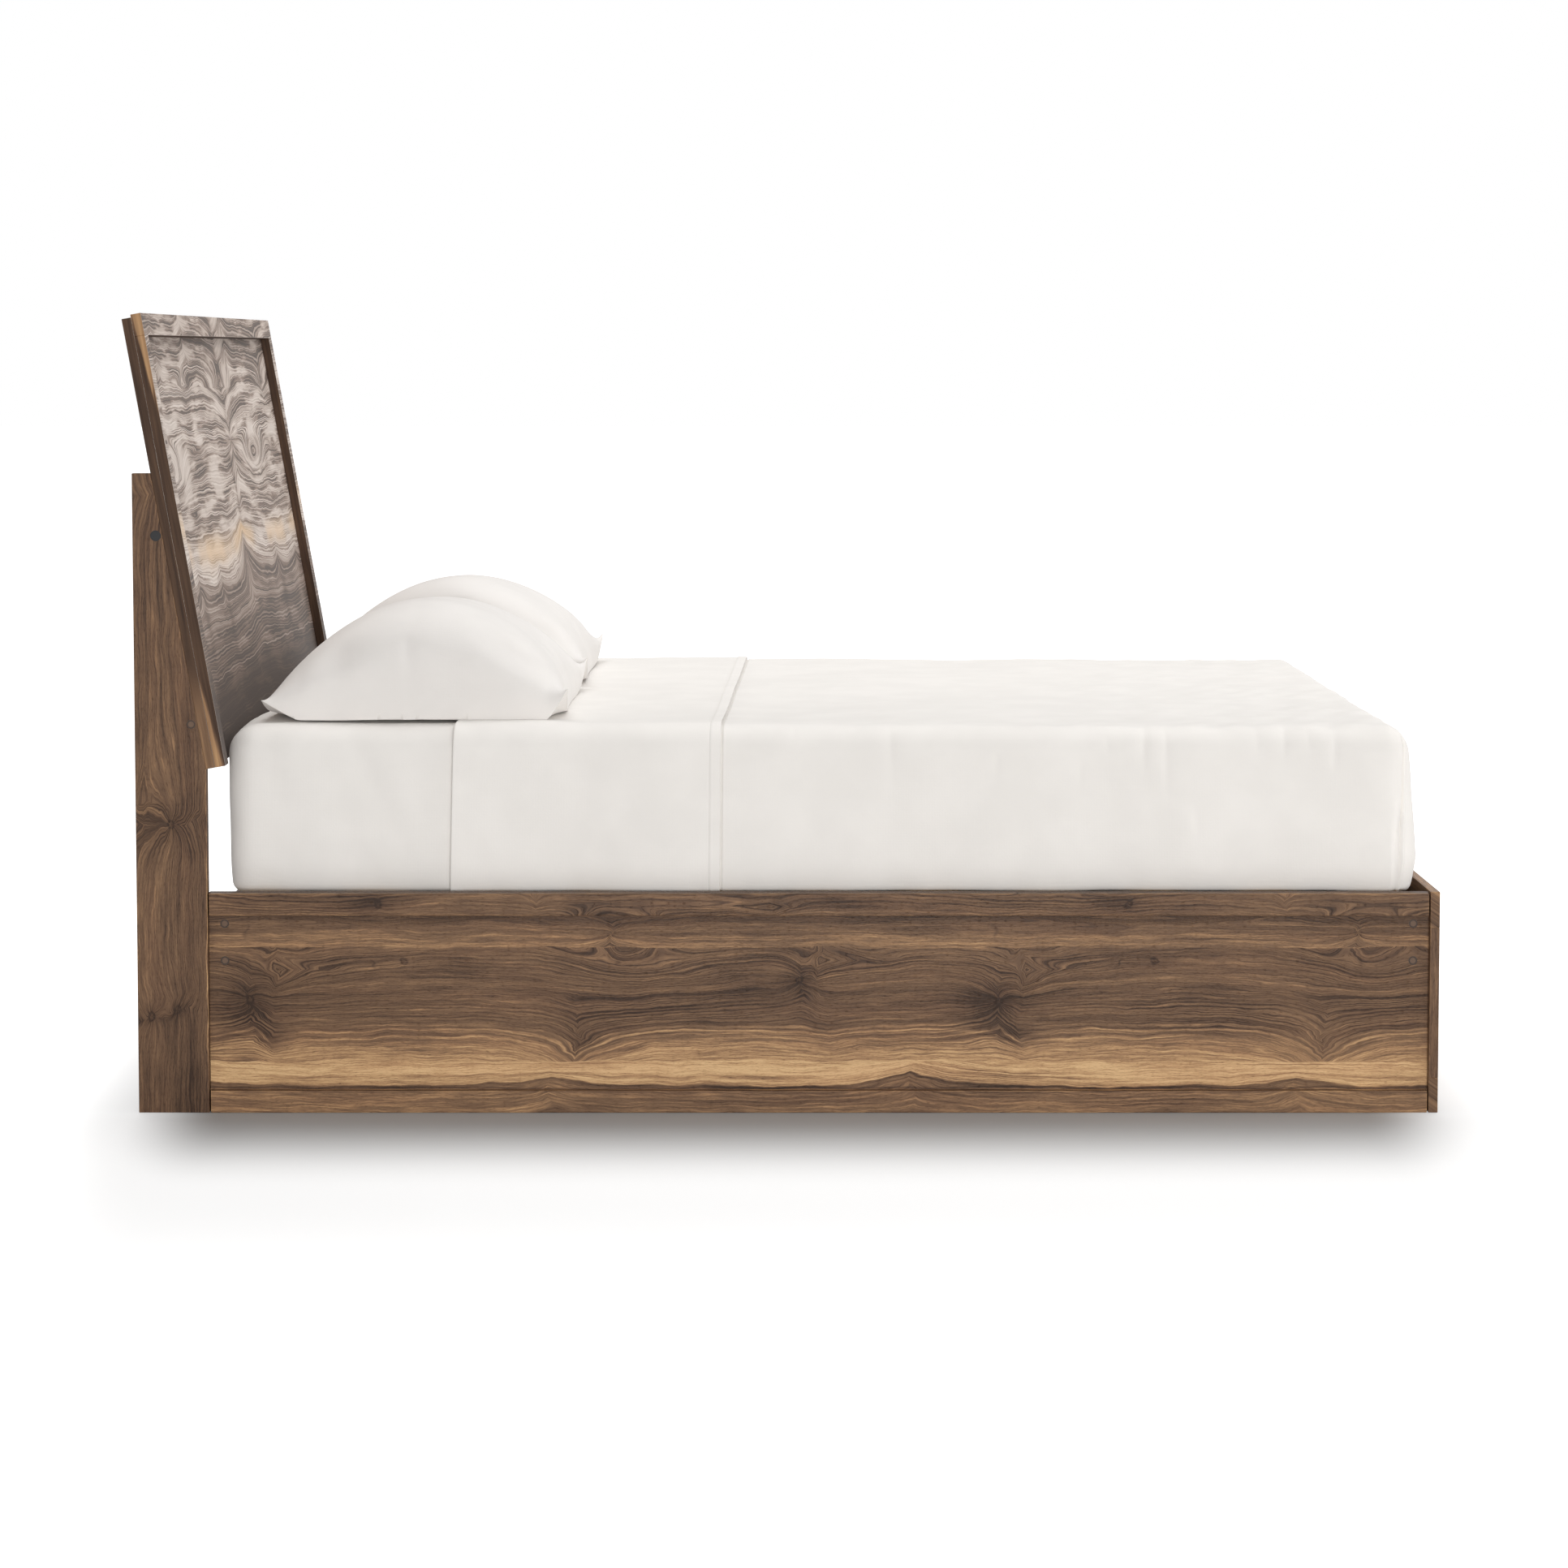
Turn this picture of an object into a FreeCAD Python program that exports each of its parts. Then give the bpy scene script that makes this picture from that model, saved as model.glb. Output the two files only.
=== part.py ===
"""Platform storage bed, queen size: tilted panel headboard, closed sides and two drawers at the foot.

Millimetres. +X runs from the head to the foot, +Z is up, and left (+Y) is the sleeper's left. The origin
is on the floor, under the middle of the box that holds the whole bed. Each function makes one kind of
piece, and main() writes one STEP file for each node.
"""
import os
from math import cos, radians, sin, tan

import FreeCAD, Part
from FreeCAD import Vector

# Mattress and bedding
MATTRESS_LENGTH = 2040.0
MATTRESS_WIDTH = 1524.0
MATTRESS_THICKNESS = 306.0
MATTRESS_EDGE_RADIUS = 34.0
PILLOW_LENGTH = 660.0  # across the bed
PILLOW_DEPTH = 520.0  # along the bed
PILLOW_HEIGHT = 190.0
PILLOW_ROUNDING = 84.0
PILLOW_FROM_HEAD = 52.0  # from the mattress's head end
PILLOW_MIDDLE_GAP = 26.0  # between the two pillows
SOFT_GAP = 0.3  # between a pillow and what it lies on

# Boards
BOARD = 16.0  # side panels, strips, footboard, cross rail and case back
GABLE = 18.0
PARTITION = 32.0
ARRIS = 1.0  # rounding of board edges

# Headboard and its posts
POST_DEPTH = 121.0
POST_THICKNESS = 24.0
POST_HEIGHT = 1098.0
POST_KNEE = 593.0  # height where the post's front edge starts to lean back
TILT = 10.0  # degrees that the headboard leans back
HEADBOARD_LENGTH = 783.0  # along its slope
HEADBOARD_STEP = 5.0  # from the frame's top down to the panel's top
HEADBOARD_PANEL = 16.0
HEADBOARD_FRAME = 18.0
HEADBOARD_RAIL = 38.0
HEADBOARD_STILE = 38.0
CROSS_RAIL_BOTTOM = 40.0  # above the floor
CROSS_RAIL_HEIGHT = 280.0

# Sides
MATTRESS_SIDE_GAP = 51.0  # from the mattress out to the strips' faces
MATTRESS_HEAD_GAP = 31.0  # from the posts to the mattress
MATTRESS_FOOT_GAP = 23.0  # from the mattress to the footboard
SIDE_HEIGHT = 379.0
STRIP_HEIGHT = 38.0
STRIP_THICKNESS = 16.0
STRIP_END_GAP = 2.5
STRIP_ARRIS = 1.5
DECK_SUPPORT = 338.0  # height that the slats lie at
CLEAT_THICKNESS = 20.0
CLEAT_HEIGHT = 38.0
CORNER_BLOCK = 38.0

# Slats, centre beam and legs
SLAT_COUNT = 11
SLAT_WIDTH = 100.0
SLAT_THICKNESS = 18.0
SLAT_CLEARANCE = 2.0  # from a slat's ends to the side panels
SLAT_INSET = 12.0  # from the mattress's ends in to the first and last slats
SLAT_ARRIS = 2.0
BEAM_THICKNESS = 20.0
BEAM_HEIGHT = 120.0
LEG_COUNT = 3
LEG_SIZE = 40.0

# Footboard and drawer case
FOOTBOARD_HEIGHT = 382.0
FOOT_TOP_RAIL = 62.0
FOOT_BOTTOM_RAIL = 60.0
CASE_DEPTH = 536.0
CASE_BACK_BOTTOM = 20.0  # above the floor

# Drawers
FRONT_GAP = 3.0  # around each inset front
DRAWER_DEPTH = 500.0
DRAWER_HEIGHT = 220.0
DRAWER_LIFT = 14.0  # from the opening's sill to the drawer's lower edge
DRAWER_SIDE = 12.0
DRAWER_BOTTOM = 5.0
BOTTOM_LIFT = 10.0  # from the sides' lower edge to the drawer bottom
GROOVE_DEPTH = 6.0
GROOVE_CLEARANCE = 0.2
DRAWER_ARRIS = 0.8
PULL_LENGTH = 224.0
PULL_SPACING = 192.0  # between the two standoffs
PULL_PROJECTION = 32.0
PULL_BAR_DEPTH = 9.0
PULL_BAR_HEIGHT = 14.0
PULL_STANDOFF = 10.0
PULL_ARRIS = 1.5

# Drawer slides
SLIDE_LENGTH = 498.0
SLIDE_HEIGHT = 45.0
SLIDE_SPACE = 12.7  # between a gable and the drawer
SLIDE_SHEET = 1.2
SLIDE_FRONT_GAP = 2.0
DRAWER_TRAVEL = 370.0
BALL_DIAMETER = 5.8
BALL_GAP = 0.3
BALL_COUNT = 6
BALL_PITCH = 20.0
CAGE_SHEET = 0.8
CAGE_GAP = 0.5  # from the cabinet channel's web to the cage, and from there to the drawer channel
CAGE_END_PLAY = 8.0  # between the cage and both channels' ends when the drawer is open

# Cover caps over the fixings
CAP_DIAMETER = 15.0
BLACK_CAP_DIAMETER = 18.0
CAP_DEPTH = 10.0
CAP_RECESS = 0.5
CAP_CLEARANCE = 0.15  # radial
PANEL_CAP_INSET = 27.0  # from the end of the side panel
PANEL_CAP_DROP = 13.0  # from the deck support down to the upper cap
PANEL_CAP_SPACING = 64.0
POST_CAP_INSET = 11.0  # from the post's leaning edge
LOWER_POST_CAP = 80.0  # up the slope from the knee
UPPER_POST_CAP = 407.0

SIDES = {"left": 1, "right": -1}

# Places along X
slope = radians(TILT)
panel_length = HEADBOARD_LENGTH - HEADBOARD_STEP
head_overhang = max(0.0, panel_length * sin(slope) - POST_DEPTH)
side_length = MATTRESS_HEAD_GAP + MATTRESS_LENGTH + MATTRESS_FOOT_GAP
overall_length = head_overhang + POST_DEPTH + side_length + BOARD + PULL_PROJECTION
x_post_back = head_overhang - overall_length / 2
x_post_front = x_post_back + POST_DEPTH
x_foot_back = x_post_front + side_length
x_foot_front = x_foot_back + BOARD
x_case_back = x_foot_back - CASE_DEPTH
x_mattress = x_post_front + MATTRESS_HEAD_GAP

# Places along Y, from the middle outwards
y_outer = MATTRESS_WIDTH / 2 + MATTRESS_SIDE_GAP
y_panel_face = y_outer - STRIP_THICKNESS
y_panel_back = y_panel_face - BOARD
y_post_inner = y_outer - POST_THICKNESS
y_gable = y_panel_back - GABLE
y_partition = PARTITION / 2
y_drawer_outer = y_gable - SLIDE_SPACE
y_drawer_inner = y_partition + SLIDE_SPACE

# Heights
z_mattress = DECK_SUPPORT + SLAT_THICKNESS
z_opening_low = FOOT_BOTTOM_RAIL
z_opening_high = FOOTBOARD_HEIGHT - FOOT_TOP_RAIL
z_drawer = z_opening_low + DRAWER_LIFT
z_slide = z_drawer + DRAWER_HEIGHT / 2
z_panel_caps = [DECK_SUPPORT - PANEL_CAP_DROP, DECK_SUPPORT - PANEL_CAP_DROP - PANEL_CAP_SPACING]
x_panel_caps = [x_post_front + PANEL_CAP_INSET, x_foot_back - PANEL_CAP_INSET]

# Inside a slide, from the wall outwards
x_slide = x_foot_back - SLIDE_FRONT_GAP - SLIDE_LENGTH
cage_length = SLIDE_LENGTH - DRAWER_TRAVEL - CAGE_END_PLAY
cage_start = SLIDE_SHEET + CAGE_GAP
drawer_channel_reach = SLIDE_SPACE - cage_start - CAGE_SHEET - CAGE_GAP
drawer_channel_height = SLIDE_HEIGHT - 2 * (SLIDE_SHEET + BALL_DIAMETER + 2 * BALL_GAP)
ball_row = SLIDE_HEIGHT / 2 - SLIDE_SHEET - BALL_GAP - BALL_DIAMETER / 2


def box(x0, x1, y0, y1, z0, z1):
    """A box between two corners; each pair may be in either order."""
    size = [abs(x1 - x0), abs(y1 - y0), abs(z1 - z0)]
    return Part.makeBox(*size, Vector(min(x0, x1), min(y0, y1), min(z0, z1)))


def board(x0, x1, y0, y1, z0, z1, arris=ARRIS):
    """A box with all its edges eased."""
    plain = box(x0, x1, y0, y1, z0, z1)
    return plain.makeFillet(arris, plain.Edges)


def tilted(shape):
    """A shape made upright on the posts' knee, leaned back to the headboard's slope."""
    leaned = shape.copy()
    leaned.rotate(Vector(x_post_front, 0, POST_KNEE), Vector(0, 1, 0), -TILT)
    return leaned


def plug(x, z, face, sign, diameter, depth, recess):
    """A cylinder let into a face that looks along Y, from the recess down to the depth."""
    start = Vector(x, sign * (face - recess), z)
    return Part.makeCylinder(diameter / 2, depth - recess, start, Vector(0, -sign, 0))


def cap(x, z, face, sign, diameter):
    """A cover cap that lies just under the face."""
    return plug(x, z, face, sign, diameter, CAP_DEPTH, CAP_RECESS)


def cap_hole(x, z, face, sign, diameter):
    """The blind hole for a cover cap."""
    return plug(x, z, face, sign, diameter + 2 * CAP_CLEARANCE, CAP_DEPTH, 0)


def on_slope(distance):
    """X and Z of a post's cap, this far up the leaning edge and inset from it."""
    x = x_post_front - distance * sin(slope) - POST_CAP_INSET * cos(slope)
    z = POST_KNEE + distance * cos(slope) - POST_CAP_INSET * sin(slope)
    return x, z


def post(sign):
    """A headboard post: upright at the back, its front edge leaning back above the knee."""
    x_top = x_post_front - (POST_HEIGHT - POST_KNEE) * tan(slope)
    outline = [
        (x_post_back, 0),
        (x_post_front, 0),
        (x_post_front, POST_KNEE),
        (x_top, POST_HEIGHT),
        (x_post_back, POST_HEIGHT),
    ]
    y_low = min(sign * y_outer, sign * y_post_inner)
    points = [Vector(x, y_low, z) for x, z in outline + outline[:1]]
    solid = Part.Face(Part.makePolygon(points)).extrude(Vector(0, POST_THICKNESS, 0))
    solid = solid.makeFillet(ARRIS, solid.Edges)
    solid = solid.cut(cap_hole(*on_slope(LOWER_POST_CAP), y_outer, sign, CAP_DIAMETER))
    return solid.cut(cap_hole(*on_slope(UPPER_POST_CAP), y_outer, sign, BLACK_CAP_DIAMETER))


def headboard_panel():
    """The figured board at the back, as wide as the bed."""
    x_face = x_post_front + HEADBOARD_PANEL
    return tilted(board(x_post_front, x_face, -y_outer, y_outer, POST_KNEE, POST_KNEE + panel_length))


def headboard_top_rail():
    """The rail across the top of the panel's face."""
    x_back = x_post_front + HEADBOARD_PANEL
    z_top = POST_KNEE + HEADBOARD_LENGTH
    return tilted(board(x_back, x_back + HEADBOARD_FRAME, -y_outer, y_outer, z_top - HEADBOARD_RAIL, z_top))


def headboard_stile(sign):
    """A stile down one edge of the panel's face, under the rail."""
    x_back = x_post_front + HEADBOARD_PANEL
    z_top = POST_KNEE + HEADBOARD_LENGTH - HEADBOARD_RAIL
    y_inner = y_outer - HEADBOARD_STILE
    return tilted(board(x_back, x_back + HEADBOARD_FRAME, sign * y_inner, sign * y_outer, POST_KNEE, z_top))


def head_cross_rail():
    """The board low down between the posts."""
    z_top = CROSS_RAIL_BOTTOM + CROSS_RAIL_HEIGHT
    return board(x_post_front - BOARD, x_post_front, -y_post_inner, y_post_inner, CROSS_RAIL_BOTTOM, z_top)


def side_panel(sign):
    """The closed side, behind the strips, with its blind holes for the caps."""
    solid = board(x_post_front, x_foot_back, sign * y_panel_back, sign * y_panel_face, 0, SIDE_HEIGHT)
    for x in x_panel_caps:
        for z in z_panel_caps:
            solid = solid.cut(cap_hole(x, z, y_panel_face, sign, CAP_DIAMETER))
    return solid


def strip(sign, z_low):
    """A strip along the side panel's face."""
    x0 = x_post_front + STRIP_END_GAP
    x1 = x_foot_back - STRIP_END_GAP
    return board(x0, x1, sign * y_panel_face, sign * y_outer, z_low, z_low + STRIP_HEIGHT, STRIP_ARRIS)


def corner_blocks():
    """The two uprights that tie the side panels to the cross rail."""
    x1 = x_post_front + CORNER_BLOCK
    y_inner = y_panel_back - CORNER_BLOCK
    return [board(x_post_front, x1, s * y_inner, s * y_panel_back, 0, DECK_SUPPORT) for s in SIDES.values()]


def slat_cleat(sign):
    """The batten inside a side panel that carries the slats."""
    x0 = x_post_front + CORNER_BLOCK
    x1 = x_case_back - BOARD
    y_inner = y_panel_back - CLEAT_THICKNESS
    return board(x0, x1, sign * y_inner, sign * y_panel_back, DECK_SUPPORT - CLEAT_HEIGHT, DECK_SUPPORT)


def centre_beam():
    """The beam under the slats, from the cross rail to the drawer case."""
    half = BEAM_THICKNESS / 2
    return board(x_post_front, x_case_back - BOARD, -half, half, DECK_SUPPORT - BEAM_HEIGHT, DECK_SUPPORT)


def centre_legs():
    """The legs under the beam, evenly spaced, the last one at the drawer case."""
    half = LEG_SIZE / 2
    x_last = x_case_back - BOARD - half
    pitch = (x_last - x_post_front) / LEG_COUNT
    places = [x_post_front + pitch * (i + 1) for i in range(LEG_COUNT)]
    return [board(x - half, x + half, -half, half, 0, DECK_SUPPORT - BEAM_HEIGHT) for x in places]


def slat(index):
    """One slat of the deck."""
    x_first = x_mattress + SLAT_INSET
    pitch = (MATTRESS_LENGTH - 2 * SLAT_INSET - SLAT_WIDTH) / (SLAT_COUNT - 1)
    x0 = x_first + pitch * index
    half = y_panel_back - SLAT_CLEARANCE
    return board(x0, x0 + SLAT_WIDTH, -half, half, DECK_SUPPORT, z_mattress, SLAT_ARRIS)


def foot_rail(z0, z1):
    """A rail of the footboard's face frame, as wide as the bed."""
    return board(x_foot_back, x_foot_front, -y_outer, y_outer, z0, z1)


def foot_stile(y0, y1):
    """A stile of the face frame, between its rails."""
    return board(x_foot_back, x_foot_front, y0, y1, z_opening_low, z_opening_high)


def case_gable(sign):
    """The board between a side panel and the drawer's outer slide."""
    return board(x_case_back, x_foot_back, sign * y_gable, sign * y_panel_back, 0, DECK_SUPPORT)


def case_partition():
    """The upright between the drawers."""
    return board(x_case_back, x_foot_back, -y_partition, y_partition, 0, DECK_SUPPORT)


def case_back():
    """The board behind both drawers."""
    x0 = x_case_back - BOARD
    return board(x0, x_case_back, -y_panel_back, y_panel_back, CASE_BACK_BOTTOM, DECK_SUPPORT)


def bottom_groove(sign):
    """The space that the drawer bottom's edges need in the pieces around it."""
    z0 = z_drawer + BOTTOM_LIFT
    y0 = y_drawer_inner + DRAWER_SIDE - GROOVE_DEPTH - GROOVE_CLEARANCE
    y1 = y_drawer_outer - DRAWER_SIDE + GROOVE_DEPTH + GROOVE_CLEARANCE
    x0 = x_foot_back - DRAWER_DEPTH + DRAWER_SIDE - GROOVE_DEPTH - GROOVE_CLEARANCE
    return box(x0, x_foot_back, sign * y0, sign * y1, z0, z0 + DRAWER_BOTTOM + GROOVE_CLEARANCE)


def drawer_bottom(sign):
    """The thin board in the grooves."""
    z0 = z_drawer + BOTTOM_LIFT
    y0 = y_drawer_inner + DRAWER_SIDE - GROOVE_DEPTH
    y1 = y_drawer_outer - DRAWER_SIDE + GROOVE_DEPTH
    x0 = x_foot_back - DRAWER_DEPTH + DRAWER_SIDE - GROOVE_DEPTH
    return box(x0, x_foot_back, sign * y0, sign * y1, z0, z0 + DRAWER_BOTTOM)


def drawer_side(sign, y0, y1):
    """A side of the drawer, as deep as the drawer."""
    x0 = x_foot_back - DRAWER_DEPTH
    z1 = z_drawer + DRAWER_HEIGHT
    solid = board(x0, x_foot_back, sign * y0, sign * y1, z_drawer, z1, DRAWER_ARRIS)
    return solid.cut(bottom_groove(sign))


def drawer_back(sign):
    """The back of the drawer, between its sides."""
    x0 = x_foot_back - DRAWER_DEPTH
    y0 = y_drawer_inner + DRAWER_SIDE
    y1 = y_drawer_outer - DRAWER_SIDE
    z1 = z_drawer + DRAWER_HEIGHT
    solid = board(x0, x0 + DRAWER_SIDE, sign * y0, sign * y1, z_drawer, z1, DRAWER_ARRIS)
    return solid.cut(bottom_groove(sign))


def drawer_front(sign):
    """The inset front, flush with the footboard."""
    y0 = y_partition + FRONT_GAP
    y1 = y_gable - FRONT_GAP
    z0 = z_opening_low + FRONT_GAP
    z1 = z_opening_high - FRONT_GAP
    return board(x_foot_back, x_foot_front, sign * y0, sign * y1, z0, z1)


def drawer_pull(sign):
    """A squared bar on two standoffs, in the middle of the front."""
    y_mid = sign * (y_partition + y_gable) / 2
    z_mid = (z_opening_low + z_opening_high) / 2
    x_tip = x_foot_front + PULL_PROJECTION
    x_bar = x_tip - PULL_BAR_DEPTH
    half = PULL_LENGTH / 2
    rise = PULL_BAR_HEIGHT / 2
    solid = board(x_bar, x_tip, y_mid - half, y_mid + half, z_mid - rise, z_mid + rise, PULL_ARRIS)
    stub = PULL_STANDOFF / 2
    x_end = (x_bar + x_tip) / 2
    for y in (y_mid - PULL_SPACING / 2, y_mid + PULL_SPACING / 2):
        solid = solid.fuse(box(x_foot_front, x_end, y - stub, y + stub, z_mid - stub, z_mid + stub))
    return solid.removeSplitter()


def channel(length, height, reach, sheet):
    """A C-section along X from the origin: its web at Y 0, its flanges towards +Y."""
    outer = box(0, length, 0, reach, -height / 2, height / 2)
    inner = box(-sheet, length + sheet, sheet, reach + sheet, sheet - height / 2, height / 2 - sheet)
    return outer.cut(inner)


def place(shape, x, y, facing):
    """A slide's piece moved to its wall; facing is +1 when its flanges point to +Y."""
    placed = shape if facing > 0 else shape.mirror(Vector(0, 0, 0), Vector(0, 1, 0))
    placed = placed.copy()
    placed.translate(Vector(x, y, z_slide))
    return placed


def slide_walls(sign):
    """Y of each wall that carries a slide of this drawer, with the way from it to the drawer."""
    return [(sign * y_gable, -sign), (sign * y_partition, sign)]


def cabinet_channels():
    """The four fixed slide channels, on the gables and the partition."""
    section = channel(SLIDE_LENGTH, SLIDE_HEIGHT, SLIDE_SPACE - CAGE_GAP, SLIDE_SHEET)
    return [place(section, x_slide, y, way) for s in SIDES.values() for y, way in slide_walls(s)]


def drawer_channels(sign):
    """The two slide channels on this drawer's sides."""
    section = channel(SLIDE_LENGTH, drawer_channel_height, drawer_channel_reach, SLIDE_SHEET)
    return [place(section, x_slide, y + way * SLIDE_SPACE, -way) for y, way in slide_walls(sign)]


def ball_cage():
    """A sheet cage that holds a row of balls above and a row below, web at Y 0."""
    cage = channel(cage_length, 2 * ball_row + CAGE_SHEET, SLIDE_SPACE - 2 * cage_start, CAGE_SHEET)
    first = (cage_length - BALL_PITCH * (BALL_COUNT - 1)) / 2
    for i in range(BALL_COUNT):
        for row in (-ball_row, ball_row):
            ball_place = Vector(first + BALL_PITCH * i, SLIDE_SPACE / 2 - cage_start, row)
            cage = cage.fuse(Part.makeSphere(BALL_DIAMETER / 2, ball_place))
    return cage


def ball_cages(sign):
    """The two cages of this drawer, halfway along the closed slides."""
    x = x_slide + (SLIDE_LENGTH - cage_length) / 2
    cage = ball_cage()
    return [place(cage, x, y + way * cage_start, way) for y, way in slide_walls(sign)]


def panel_cover_caps():
    """The wood-coloured caps: four on each side panel and the lower one on each post."""
    caps = []
    for sign in SIDES.values():
        for x in x_panel_caps:
            caps += [cap(x, z, y_panel_face, sign, CAP_DIAMETER) for z in z_panel_caps]
        caps.append(cap(*on_slope(LOWER_POST_CAP), y_outer, sign, CAP_DIAMETER))
    return caps


def black_cover_caps():
    """The black cap high on each post."""
    return [cap(*on_slope(UPPER_POST_CAP), y_outer, sign, BLACK_CAP_DIAMETER) for sign in SIDES.values()]


def mattress():
    """The mattress, as a simple closed solid."""
    half = MATTRESS_WIDTH / 2
    x1 = x_mattress + MATTRESS_LENGTH
    z1 = z_mattress + MATTRESS_THICKNESS
    return board(x_mattress, x1, -half, half, z_mattress, z1, MATTRESS_EDGE_RADIUS)


def pillow(sign):
    """A plump pillow, as a simple closed solid."""
    x0 = x_mattress + PILLOW_FROM_HEAD
    y0 = PILLOW_MIDDLE_GAP / 2
    z0 = z_mattress + MATTRESS_THICKNESS + SOFT_GAP
    y1 = y0 + PILLOW_LENGTH
    return board(x0, x0 + PILLOW_DEPTH, sign * y0, sign * y1, z0, z0 + PILLOW_HEIGHT, PILLOW_ROUNDING)


def nodes():
    """Every node's name with its shape."""
    made = {
        "headboard_panel": headboard_panel(),
        "headboard_top_rail": headboard_top_rail(),
        "head_cross_rail": head_cross_rail(),
        "corner_blocks": corner_blocks(),
        "centre_beam": centre_beam(),
        "centre_legs": centre_legs(),
        "footboard_top_rail": foot_rail(z_opening_high, FOOTBOARD_HEIGHT),
        "footboard_bottom_rail": foot_rail(0, z_opening_low),
        "footboard_centre_stile": foot_stile(-y_partition, y_partition),
        "case_partition": case_partition(),
        "case_back": case_back(),
        "cabinet_slide_channels": cabinet_channels(),
        "panel_cover_caps": panel_cover_caps(),
        "black_cover_caps": black_cover_caps(),
        "mattress": mattress(),
    }
    for side, sign in SIDES.items():
        made |= {
            f"{side}_post": post(sign),
            f"headboard_{side}_stile": headboard_stile(sign),
            f"{side}_side_panel": side_panel(sign),
            f"{side}_top_strip": strip(sign, SIDE_HEIGHT - STRIP_HEIGHT),
            f"{side}_bottom_strip": strip(sign, 0),
            f"{side}_slat_cleat": slat_cleat(sign),
            f"footboard_{side}_stile": foot_stile(sign * y_gable, sign * y_outer),
            f"{side}_case_gable": case_gable(sign),
            f"{side}_pillow": pillow(sign),
            f"{side}_drawer_front": drawer_front(sign),
            f"{side}_drawer_outer_side": drawer_side(sign, y_drawer_outer - DRAWER_SIDE, y_drawer_outer),
            f"{side}_drawer_inner_side": drawer_side(sign, y_drawer_inner, y_drawer_inner + DRAWER_SIDE),
            f"{side}_drawer_back": drawer_back(sign),
            f"{side}_drawer_bottom": drawer_bottom(sign),
            f"{side}_drawer_pull": drawer_pull(sign),
            f"{side}_drawer_channels": drawer_channels(sign),
            f"{side}_ball_cages": ball_cages(sign),
        }
    for index in range(SLAT_COUNT):
        made[f"slat_{index + 1:02d}"] = slat(index)
    return made


def main():
    os.makedirs("parts", exist_ok=True)
    made = nodes()
    for name, shape in made.items():
        whole = Part.makeCompound(shape) if isinstance(shape, list) else shape
        whole.exportStep(f"parts/{name}.step")
    everything = Part.makeCompound([s for v in made.values() for s in (v if isinstance(v, list) else [v])])
    bounds = everything.BoundBox
    print(len(made), "nodes;", f"{bounds.XLength:.1f} x {bounds.YLength:.1f} x {bounds.ZLength:.1f} mm")
    print("x", f"{bounds.XMin:.2f} to {bounds.XMax:.2f}", "post back", f"{x_post_back:.2f}")


main()
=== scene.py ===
# %% [markdown]
# # A platform storage bed
# The bed's boards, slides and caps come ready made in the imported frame, in metres, and stay where they are.
# This lesson gives them their finishes, and makes what is soft: the mattress, its sheets and the pillows.
# Each step says what the real piece is, how it could be made here, and why one way was chosen.

# %% Load the frame
import math

import bmesh
import bpy
import numpy as np
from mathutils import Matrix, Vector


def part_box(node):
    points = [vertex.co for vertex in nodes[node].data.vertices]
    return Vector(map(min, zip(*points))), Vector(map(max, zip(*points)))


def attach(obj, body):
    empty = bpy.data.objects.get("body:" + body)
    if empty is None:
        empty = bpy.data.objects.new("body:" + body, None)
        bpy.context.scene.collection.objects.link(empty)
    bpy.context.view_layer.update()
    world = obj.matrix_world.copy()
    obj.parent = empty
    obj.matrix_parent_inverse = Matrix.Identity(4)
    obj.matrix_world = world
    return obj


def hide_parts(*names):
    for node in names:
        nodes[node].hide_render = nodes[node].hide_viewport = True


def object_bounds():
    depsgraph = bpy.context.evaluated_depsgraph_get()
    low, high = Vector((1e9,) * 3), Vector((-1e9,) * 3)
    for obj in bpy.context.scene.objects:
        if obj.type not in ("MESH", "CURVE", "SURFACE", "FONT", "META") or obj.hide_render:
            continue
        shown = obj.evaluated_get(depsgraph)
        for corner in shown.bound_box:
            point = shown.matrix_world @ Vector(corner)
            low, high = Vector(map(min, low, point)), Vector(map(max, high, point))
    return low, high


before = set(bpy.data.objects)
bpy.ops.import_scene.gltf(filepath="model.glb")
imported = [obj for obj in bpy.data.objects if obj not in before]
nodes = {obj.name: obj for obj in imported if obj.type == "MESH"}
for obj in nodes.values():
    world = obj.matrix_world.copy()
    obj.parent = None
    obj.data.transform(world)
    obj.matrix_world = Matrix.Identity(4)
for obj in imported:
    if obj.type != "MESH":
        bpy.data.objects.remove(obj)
cad_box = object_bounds()


# %% [markdown]
# ## Measures
# Everything new is placed from the frame's own boxes. The mattress solid is the mattress with its sheets
# on, so the sheets' outer faces lie on that box and the layers below are inset from it, a few millimetres
# each. A small function turns everyday sRGB colours into the linear numbers that shaders use.

# %% Places and colours
BED = "bed_frame"
LEAN = math.radians(10)
ALONG_X, ALONG_Y, ALONG_Z = (1, 0, 0), (0, 1, 0), (0, 0, 1)
half_width = cad_box[1].y


def corners(node):
    """The low and high corner of a node's box, as arrays."""
    return [np.array(corner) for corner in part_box(node)]


def colour(red, green, blue):
    """Linear colour from sRGB steps of 0 to 255: ((c + 0.055) / 1.055) ** 2.4, or c / 12.92 when dark."""
    steps = np.array([red, green, blue]) / 255
    linear = np.where(steps > 0.04045, ((steps + 0.055) / 1.055) ** 2.4, steps / 12.92)
    return (*linear.tolist(), 1.0)


mattress_low, mattress_high = corners("mattress")
post_low, post_high = corners("right_post")
print("mattress", mattress_low.round(3), mattress_high.round(3))

# %% [markdown]
# ## The camera
# The bed is seen from its side, from far off and a little above the mattress. A long lens far away keeps
# the side nearly flat, as a catalogue picture does. A small lens shift with a slight downward tilt keeps
# the uprights almost upright; a larger shift would push the bed out of the frame in other views.

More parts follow.
